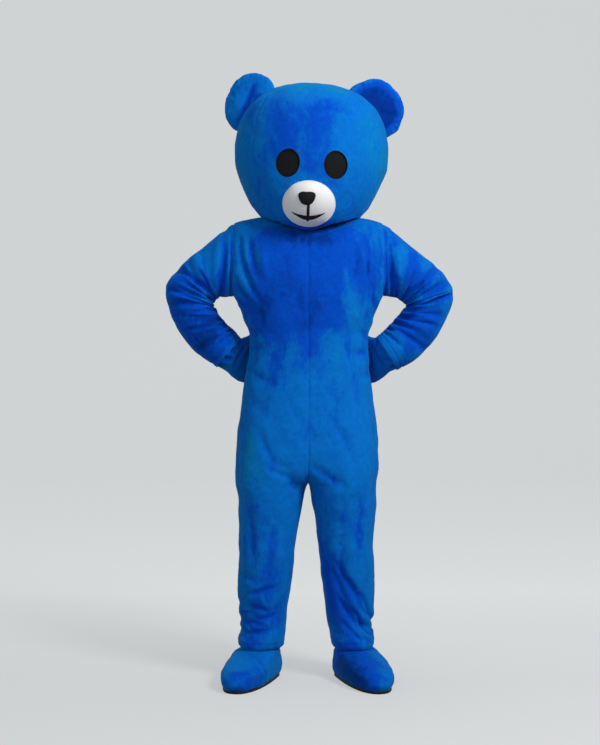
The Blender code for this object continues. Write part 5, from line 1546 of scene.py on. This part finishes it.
def muzzle():
    """The padded oval on the lower face: a dome that rounds in at its edge, with a shallow dart
    down its middle, above the mouth's own line."""
    x, z, _ = disc_grid(MUZZLE_MIDDLE, MUZZLE_SIZE, rings=52, around=168)
    grid = np.stack([x, muzzle_depth(x, z), z], -1)
    edge = grid[-1] + (face_depth(x[-1], z[-1]) + 0.003 - grid[-1, :, 1])[:, None] * [0, 1, 0]
    grid = np.concatenate([grid, (grid[-1:] + edge) / 2, edge[None]])
    grid = head_place(grid)
    out = outwards(grid, head_place(np.array([MUZZLE_MIDDLE[0], -0.15, MUZZLE_MIDDLE[1]])), True)
    out[0] = [0, -1, 0]
    dart = -0.0008 * np.exp(-(((x - MOUTH_X) / 0.0016) ** 2)) * (z < -0.205)
    uneven = 0.15 * pile_relief(grid[:-2]) + 0.0005 * waves(grid[:-2], seed=31, wavelength=0.06)
    height = MUZZLE_PILE + dart + uneven
    grid[:-2] += height[..., None] * out[:-2]
    grid[0] = grid[0].mean(axis=0)
    return grid_piece("muzzle_cloth", grid, out, pale_plush, True)


def filled(x, z, depth, back, look, name):
    """A closed lens: a front grid at its own depth, and a flat turned-in edge behind it."""
    grid = np.stack([x, depth, z], -1)
    edge = grid[-1:] + np.array([0, back, 0])
    grid = head_place(np.concatenate([grid, (grid[-1:] + edge) / 2, edge]))
    out = towards_front(grid).copy()
    out[-2:] = outwards(grid, grid[0].mean(axis=0), True)[-2:]
    return grid_piece(name, grid, out, look, True)


def nose():
    """A padded felt triangle with round corners, wide above with a shallow dip, narrow below."""
    x, z, radius = disc_grid((0, 0), (1, 1), rings=26, around=108)
    turn = np.arctan2(z, x)
    width = 0.86 + 0.20 * np.sin(turn) - 0.10 * np.cos(2 * turn)
    dip = 1 - 0.13 * np.exp(-(((turn - math.pi / 2) / 0.35) ** 2))
    x = NOSE_MIDDLE[0] + NOSE_SIZE[0] * x * width
    z = NOSE_MIDDLE[1] + NOSE_SIZE[1] * z * dip
    proud = 0.0015 + NOSE_PROUD * np.sqrt(np.clip(1 - radius**3, 0, 1))
    places = np.stack([x, 0 * x, z], -1)
    proud = proud + 0.0004 * waves(places, seed=41, wavelength=0.012)
    return filled(x, z, muzzle_depth(x, z) - proud - 0.0010, 0.009, black_felt, "nose_felt")


def bar(name, x, z, proud, look):
    """A sewn cord of felt on the muzzle: a grid of places whose rows go across it, as proud as a
    half circle across, and turned into the muzzle at both edges and ends."""
    depth = muzzle_depth(x, z) - proud
    grid = head_place(np.stack([x, depth, z], -1))
    out = towards_front(grid)
    return grid_piece(name, grid, out, look)


def mouth():
    """The line down from the nose and the smile, thickest in its middle, each a rounded cord."""
    across = np.linspace(-1, 1, 13)[:, None]
    along = np.linspace(-1, 1, 150)[None, :]
    half = 0.0012 + SMILE_THICK / 2 * (1 - np.abs(along) ** 1.5)
    middle = SMILE_BOTTOM + (SMILE_END - SMILE_BOTTOM) * np.abs(along) ** 1.8
    x = MOUTH_X + SMILE_HALF_WIDTH * along + 0 * across
    z = middle + across * half
    round_over = np.sqrt(1 - across**2)
    fading = np.clip((1 - np.abs(along)) / 0.06, 0, 1) ** 0.5
    smile_proud = MUZZLE_PILE - 0.0008 + (0.0016 + MARK_PROUD * fading) * round_over
    down = np.linspace(LINE_TOP + 0.001, SMILE_BOTTOM - 0.0085, 52)[None, :]
    line_x = MOUTH_X + across * LINE_HALF + 0 * down
    line_proud = MUZZLE_PILE - 0.0008 + (0.0014 + MARK_PROUD) * round_over + 0 * down
    smile = bar("mouth_smile", x, z, smile_proud, black_felt)
    line = bar("mouth_line", line_x, down + 0 * across, line_proud, black_felt)
    return smile, line


def ear_form(side, grow, rings, around):
    """A whole ear as one closed grid: from the middle of its front over the rim to the middle of
    its back, both faces puffed about a dished middle sheet, then leaned and turned into place."""
    middle, size, turn, lean = EARS[side]
    radius = np.sin(np.linspace(0, math.pi, 2 * rings + 1))[:, None]
    angle = np.linspace(0, 2 * math.pi, around, endpoint=False)[None, :]
    x = (size[0] + grow) * radius * power(np.cos(angle), 2 / EAR_POWER)
    z = (size[1] + grow) * radius * power(np.sin(angle), 2 / EAR_POWER)
    way = np.where(np.arange(2 * rings + 1) <= rings, -1, 1)[:, None]
    puff = (EAR_THICK / 2 + grow) * np.sqrt(np.clip(1 - radius**2.6, 0, 1))
    grid = np.stack([x, EAR_DISH * (1 - radius**2) + way * puff + 0 * x, z], -1)
    grid = turned(grid, lean, 1)
    grid = turned(grid, turn * SIDES[side], 2)
    return grid + np.array(middle)


def corners(mesh):
    """A mesh's corner places as one array."""
    places = np.empty(len(mesh.vertices) * 3, np.float32)
    mesh.vertices.foreach_get("co", places)
    return places.reshape(-1, 3).astype(float)


def set_corners(mesh, places):
    """Puts a mesh's corners at new places."""
    mesh.vertices.foreach_set("co", places.astype(np.float32).ravel())
    mesh.update()


def applied(piece):
    """Makes the piece's mesh what its modifiers give, and takes the modifiers away."""
    graph = bpy.context.evaluated_depsgraph_get()
    made = bpy.data.meshes.new_from_object(piece.evaluated_get(graph))
    piece.modifiers.clear()
    piece.data = made
    made.name = piece.name
    made.shade_smooth()


def remesh(piece, voxel):
    """An even net of square faces over the piece, about a voxel wide."""
    step = piece.modifiers.new("even net", "REMESH")
    step.mode = "VOXEL"
    step.voxel_size = voxel
    applied(piece)


def inflate(piece, most, held):
    """Blows the piece up as cloth with pressure inside and no weight, over 20 frames. No corner
    moves further than most, and those held stay where they are."""
    before = corners(piece.data)
    group_held = piece.vertex_groups.new(name="sewn to the head")
    group_held.add(np.flatnonzero(held).tolist(), 1.0, "REPLACE")
    stuffing = piece.modifiers.new("stuffing", "CLOTH")
    settings = stuffing.settings
    settings.quality = 5
    settings.mass = 0.15
    settings.tension_stiffness = settings.compression_stiffness = 12
    settings.bending_stiffness = 0.3
    settings.use_pressure = True
    settings.uniform_pressure_force = 4
    settings.effector_weights.gravity = 0
    settings.vertex_group_mass = group_held.name
    stuffing.point_cache.frame_start, stuffing.point_cache.frame_end = 1, 20
    for frame_number in range(1, 21):
        bpy.context.scene.frame_set(frame_number)
    graph = bpy.context.evaluated_depsgraph_get()
    moved = corners(piece.evaluated_get(graph).data) - before
    piece.modifiers.clear()
    piece.vertex_groups.clear()
    length = np.linalg.norm(moved, axis=1, keepdims=True)
    set_corners(piece.data, before + moved * np.minimum(1, most / np.maximum(length, 1e-9)))
    bpy.context.scene.frame_set(1)


def mesh_normals(mesh):
    """The normal at each of a mesh's corners as one array."""
    out = np.empty(len(mesh.vertices) * 3, np.float32)
    mesh.vertices.foreach_get("normal", out)
    return out.reshape(-1, 3).astype(float)


def ear(side):
    """An ear as a stuffed pad, blown up as cloth from a slightly smaller form. Then the seam round
    its rim is pressed in, and the pile is raised beside it."""
    grid = ear_form(side, -0.001, 30, 132)
    out = outwards(grid, grid.mean(axis=(0, 1)), True)
    pad = grid_piece(f"ear_{side}_pad", grid, out, head_plush, True)
    remesh(pad, EAR_VOXEL)
    places = corners(pad.data)
    inside_head = np.linalg.norm((places - HEAD_MIDDLE) / [0.232, 0.21, 0.222], axis=1) < 1
    inflate(pad, EAR_SWELL, inside_head)
    finer = pad.modifiers.new("finer", "SUBSURF")
    finer.levels = finer.render_levels = 1
    applied(pad)
    places = corners(pad.data)
    middle, size, turn, lean = EARS[side]
    own = turned(turned(places - np.array(middle), -turn * SIDES[side], 2), -lean, 1)
    reach = np.hypot(own[:, 0] / size[0], own[:, 2] / size[1])
    from_seam = np.hypot(own[:, 1], np.clip(0.93 - reach, 0, 1) * size[0])
    walked = np.arctan2(own[:, 2], own[:, 0]) * size[0]
    height = bank(from_seam, walked, 1.7) - 0.0034 * np.exp(-((from_seam / 0.0055) ** 2))
    pressed = folds(own[:, 0], own[:, 2], EAR_FOLDS[side])
    height = height + pressed + 0.0013 * waves(places, seed=51, wavelength=0.06)
    height = height + pile_relief(places)
    places = places + height[:, None] * mesh_normals(pad.data)
    set_corners(pad.data, places)
    layer = pad.data.attributes.new("nap", "FLOAT", "POINT")
    # Painted shade through the nap value: the right ear's dished middle is darkened, and each fold's trough
    # by its depth
    dished = np.clip((0.88 - reach) / 0.25, 0, 1) * (own[:, 1] < 0)
    rim, dish_shade = EAR_NAP_AND_DISH_SHADE[side]
    laid = nap(places, rim + dish_shade * dished) - 110 * pressed
    layer.data.foreach_set("value", laid.astype(np.float32))
    return pad


def boot(side):
    """A boot's upper: from the welt on the sole, over the toe and the instep, up into the hem."""
    turn = np.linspace(-math.pi, math.pi, 210, endpoint=False)
    height, angle = repeated(np.linspace(BOOT[0, 0] - SOLE_LAP, 0.122, 96), turn)
    grid = boot_surface(side, height, angle)
    out = ring_outwards(grid)
    walked = arc_along(grid, 0)
    round_it = arc_along(grid, 1)
    under_hem = np.clip((0.094 - height) / 0.012, 0, 1)
    raised = under_hem * (bank(walked, round_it, 0.4) + (walked > 0.004) * pile_relief(grid))
    soft = 0.0012 * waves(grid, seed=61, wavelength=0.07)
    raised = raised + under_hem * np.clip(walked / 0.02, 0, 1) * soft
    grid = grid + raised[..., None] * out
    out = ring_outwards(grid)
    return grid_piece(f"boot_{side}_cloth", grid, out, blue_plush, True, {"nap": nap(grid)})


def zip_strip():
    """The zip's tape: a thin flat strip down the centre-back seam, rounded at both edges."""
    height, across = repeated(np.linspace(ZIP_TOP, ZIP_BOTTOM, 150), np.linspace(-1, 1, 25))
    place, out = back_line(height[:, 0])
    proud = TAPE_THICK * (1 - np.abs(across) ** 8) + PILE * 0.5
    grid = place[:, None, :] + out[:, None, :] * proud[..., None]
    grid[..., 0] += across * TAPE_HALF
    return grid_piece("zip_tape_cloth", grid, np.broadcast_to(out[:, None], grid.shape), tape_weave)


def small_blocks(name, places, across, out, down, sizes, look):
    """Many alike small blocks as one mesh. Each has a place, three directions and half sizes, and
    eight corners at the block's own corners, those on its outer side drawn in by a third."""
    signs = np.array([(a, b, c) for a in (-1, 1) for b in (-1, 1) for c in (-1, 1)], float)
    narrow = np.where(signs[:, 1:2] > 0, 0.66, 1.0)
    shape = signs * np.hstack([narrow, np.ones_like(narrow), narrow]) * sizes
    points = places[:, None] + shape[None, :, :1] * across[:, None]
    points = points + shape[None, :, 1:2] * out[:, None] + shape[None, :, 2:] * down[:, None]
    block = np.array([(0, 1, 3, 2), (4, 6, 7, 5), (0, 4, 5, 1), (2, 3, 7, 6), (0, 2, 6, 4), (1, 5, 7, 3)])
    faces = (block[None] + 8 * np.arange(len(places))[:, None, None]).reshape(-1, 4)
    flat = points.reshape(-1, 3)
    middle = np.repeat(places, 8, axis=0)
    flip = not facing_out(faces, flat, flat - middle)
    piece = mesh_piece(name, flat, faces, look, None, flip)
    piece.data.shade_flat()
    return piece


TOOTH_PITCH = 0.0029


def zip_teeth():
    """The closed chain: teeth from both tapes in turn, each set off to its own side."""
    count = int((ZIP_TOP - ZIP_BOTTOM) / TOOTH_PITCH * 2) - 2
    height = np.linspace(ZIP_TOP - 0.002, ZIP_BOTTOM + 0.003, count)
    place, out = back_line(height)
    away = np.where(np.arange(count) % 2, 1, -1)
    place[:, 0] = away * 0.0009
    place = place + (PILE * 0.5 + TAPE_THICK + 0.0005) * out
    across = np.tile([1.0, 0.0, 0.0], (count, 1))
    down = np.cross(across, out)
    half = np.array([0.0021, 0.0009, 0.00052])
    return small_blocks("zip_teeth", place, across, out, down, half, zip_metal)


def zip_stitches():
    """Two rows of short stitches that hold the tape's edges to the plush."""
    height = np.arange(ZIP_BOTTOM + 0.003, ZIP_TOP - 0.002, 0.0042)
    rows = []
    for x in (0.0016 - TAPE_HALF, TAPE_HALF - 0.0016):
        place, out = back_line(height)
        place[:, 0] = x
        rows.append((place + (PILE * 0.5 + TAPE_THICK) * out, out))
    place = np.concatenate([row[0] for row in rows])
    out = np.concatenate([row[1] for row in rows])
    across = np.tile([1.0, 0.0, 0.0], (len(place), 1))
    down = np.cross(across, out)
    half = np.array([0.0004, 0.0004, 0.0016])
    return small_blocks("zip_stitches", place, across, out, down, half, tape_weave)


# Pieces on the frame: what each rides on and what it stands for


def on_costume(piece, nodes):
    """Sets a piece on the costume's body. nodes are what it stands for, and their solids are hidden."""
    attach(piece, "costume")
    if nodes:
        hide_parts(*nodes)
    return piece


for side in SIDES:
    for facing in ("front", "back"):
        panel = suit_panel(side, facing)
        on_costume(panel, [f"suit_{facing}_{side}"])
    arm = sleeve(side)
    on_costume(arm, [f"sleeve_{side}"])
    hand = mitt(side)
    on_costume(hand, [f"glove_{side}"])
    upper = boot(side)
    on_costume(upper, [f"boot_{side}_upper"])
    pad = ear(side)
    on_costume(pad, [f"ear_{side}_front", f"ear_{side}_back"])
    on_costume(eye(side), [f"eye_{side}"])
    on_costume(eye_rim(side), [])
    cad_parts[f"boot_{side}_sole"].data.materials.clear()
    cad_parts[f"boot_{side}_sole"].data.materials.append(sole_rubber)
GORE_CUTS = {
    "head_face": ((0.40, 0.62), 0.160),
    "head_side_left": ((0.28, 0.60), 0.110),
    "head_side_right": ((0.28, 0.60), 0.110),
    "head_back": ((0.50, 0.60), 0.190),
}
for name, (cut, area) in GORE_CUTS.items():
    on_costume(head_gore(name), [name])
pad = on_costume(muzzle(), ["muzzle"])
on_costume(nose(), ["nose"])
smile, line = mouth()
on_costume(smile, ["mouth"])
on_costume(line, [])
on_costume(zip_strip(), ["zip_tape"])
on_costume(zip_teeth(), [])
on_costume(zip_stitches(), [])
for name in ("zip_slider", "zip_pull"):
    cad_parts[name].data.materials.clear()
    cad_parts[name].data.materials.append(zip_metal)


# Stage, lights and camera


def backdrop():
    """A pale floor that turns up into a wall: a flat stretch, a quarter round and an upright."""
    bend = np.linspace(0, math.pi / 2, 24)
    y = np.concatenate([[-9.0, -3.0, 0.0], 7.6 + 1.6 * np.sin(bend), [9.2]])
    z = np.concatenate([[0.0, 0.0, 0.0], 1.6 * (1 - np.cos(bend)), [11.0]]) + FLOOR - 0.0003
    x = np.linspace(-11, 11, 13)
    grid = np.stack([x[:, None] + 0 * y, y + 0 * x[:, None], z + 0 * x[:, None]], -1)
    out = np.broadcast_to([0.0, -0.7, 0.7], grid.shape)
    sheet = grid_piece("backdrop", grid, out, studio_paper)
    sheet.visible_diffuse = False


def area_light(name, place, aim, size, power_watts, colour):
    """A soft square light at a place, turned to face the aim."""
    lamp = bpy.data.lights.new(name, "AREA")
    lamp.shape = "SQUARE"
    lamp.size = size
    lamp.energy = power_watts
    lamp.color = colour
    holder = bpy.data.objects.new(name, lamp)
    holder.location = place
    away = Vector(place) - Vector(aim)
    holder.rotation_euler = away.to_track_quat("Z", "Y").to_euler()
    bpy.context.scene.collection.objects.link(holder)


def paper():
    """Pale paper that glows a little of itself, the near floor less than the wall behind."""
    made, tree, shader = shader_material("studio paper", 0.9, specular=0.1, colour=(0.25, 0.25, 0.25))
    place = wire(tree, "TexCoord", (-900, 0)).outputs["Object"]
    parts = wire(tree, "SeparateXYZ", (-700, 0), {0: place})
    span = {"Value": parts.outputs["Y"], "From Min": 0.0, "From Max": 1.7}
    glow = wire(tree, "MapRange", (-500, 0), {**span, "To Min": 0.455, "To Max": 0.578})
    tree.links.new(glow.outputs["Result"], shader.inputs["Emission Strength"])
    shader.inputs["Emission Color"].default_value = (0.965, 0.995, 1.0, 1)
    return made


studio_paper = paper()
backdrop()
area_light("key", (2.2, -2.3, 1.6), (0, 0, 0.1), 1.2, 125, (1.0, 0.985, 0.96))
area_light("front", (-0.9, -5.0, 0.4), (0, 0, -0.3), 1.6, 48, (0.96, 0.98, 1.0))
area_light("fill", (-3.0, -2.8, 0.5), (0, 0, -0.2), 2.4, 15, (0.93, 0.97, 1.0))
area_light("top", (-0.3, 0.5, 2.6), (0, 0, 0.2), 1.6, 16, (0.95, 0.98, 1.0))
world = bpy.data.worlds.new("studio")
world.use_nodes = True
sky = world.node_tree.nodes["Background"]
sky.inputs["Color"].default_value = (0.93, 0.97, 1.0, 1)
sky.inputs["Strength"].default_value = 0.22
bpy.context.scene.world = world
bpy.context.scene.view_settings.view_transform = "Standard"

camera = bpy.data.cameras.new("camera")
camera.lens = 82.9
camera.sensor_width = 36
camera.sensor_fit = "HORIZONTAL"
viewer = bpy.data.objects.new("camera", camera)
viewer.location = (-0.0261, -4.4, -0.4606)
viewer.rotation_euler = (math.radians(90), 0, 0)
bpy.context.scene.collection.objects.link(viewer)
bpy.context.scene.camera = viewer
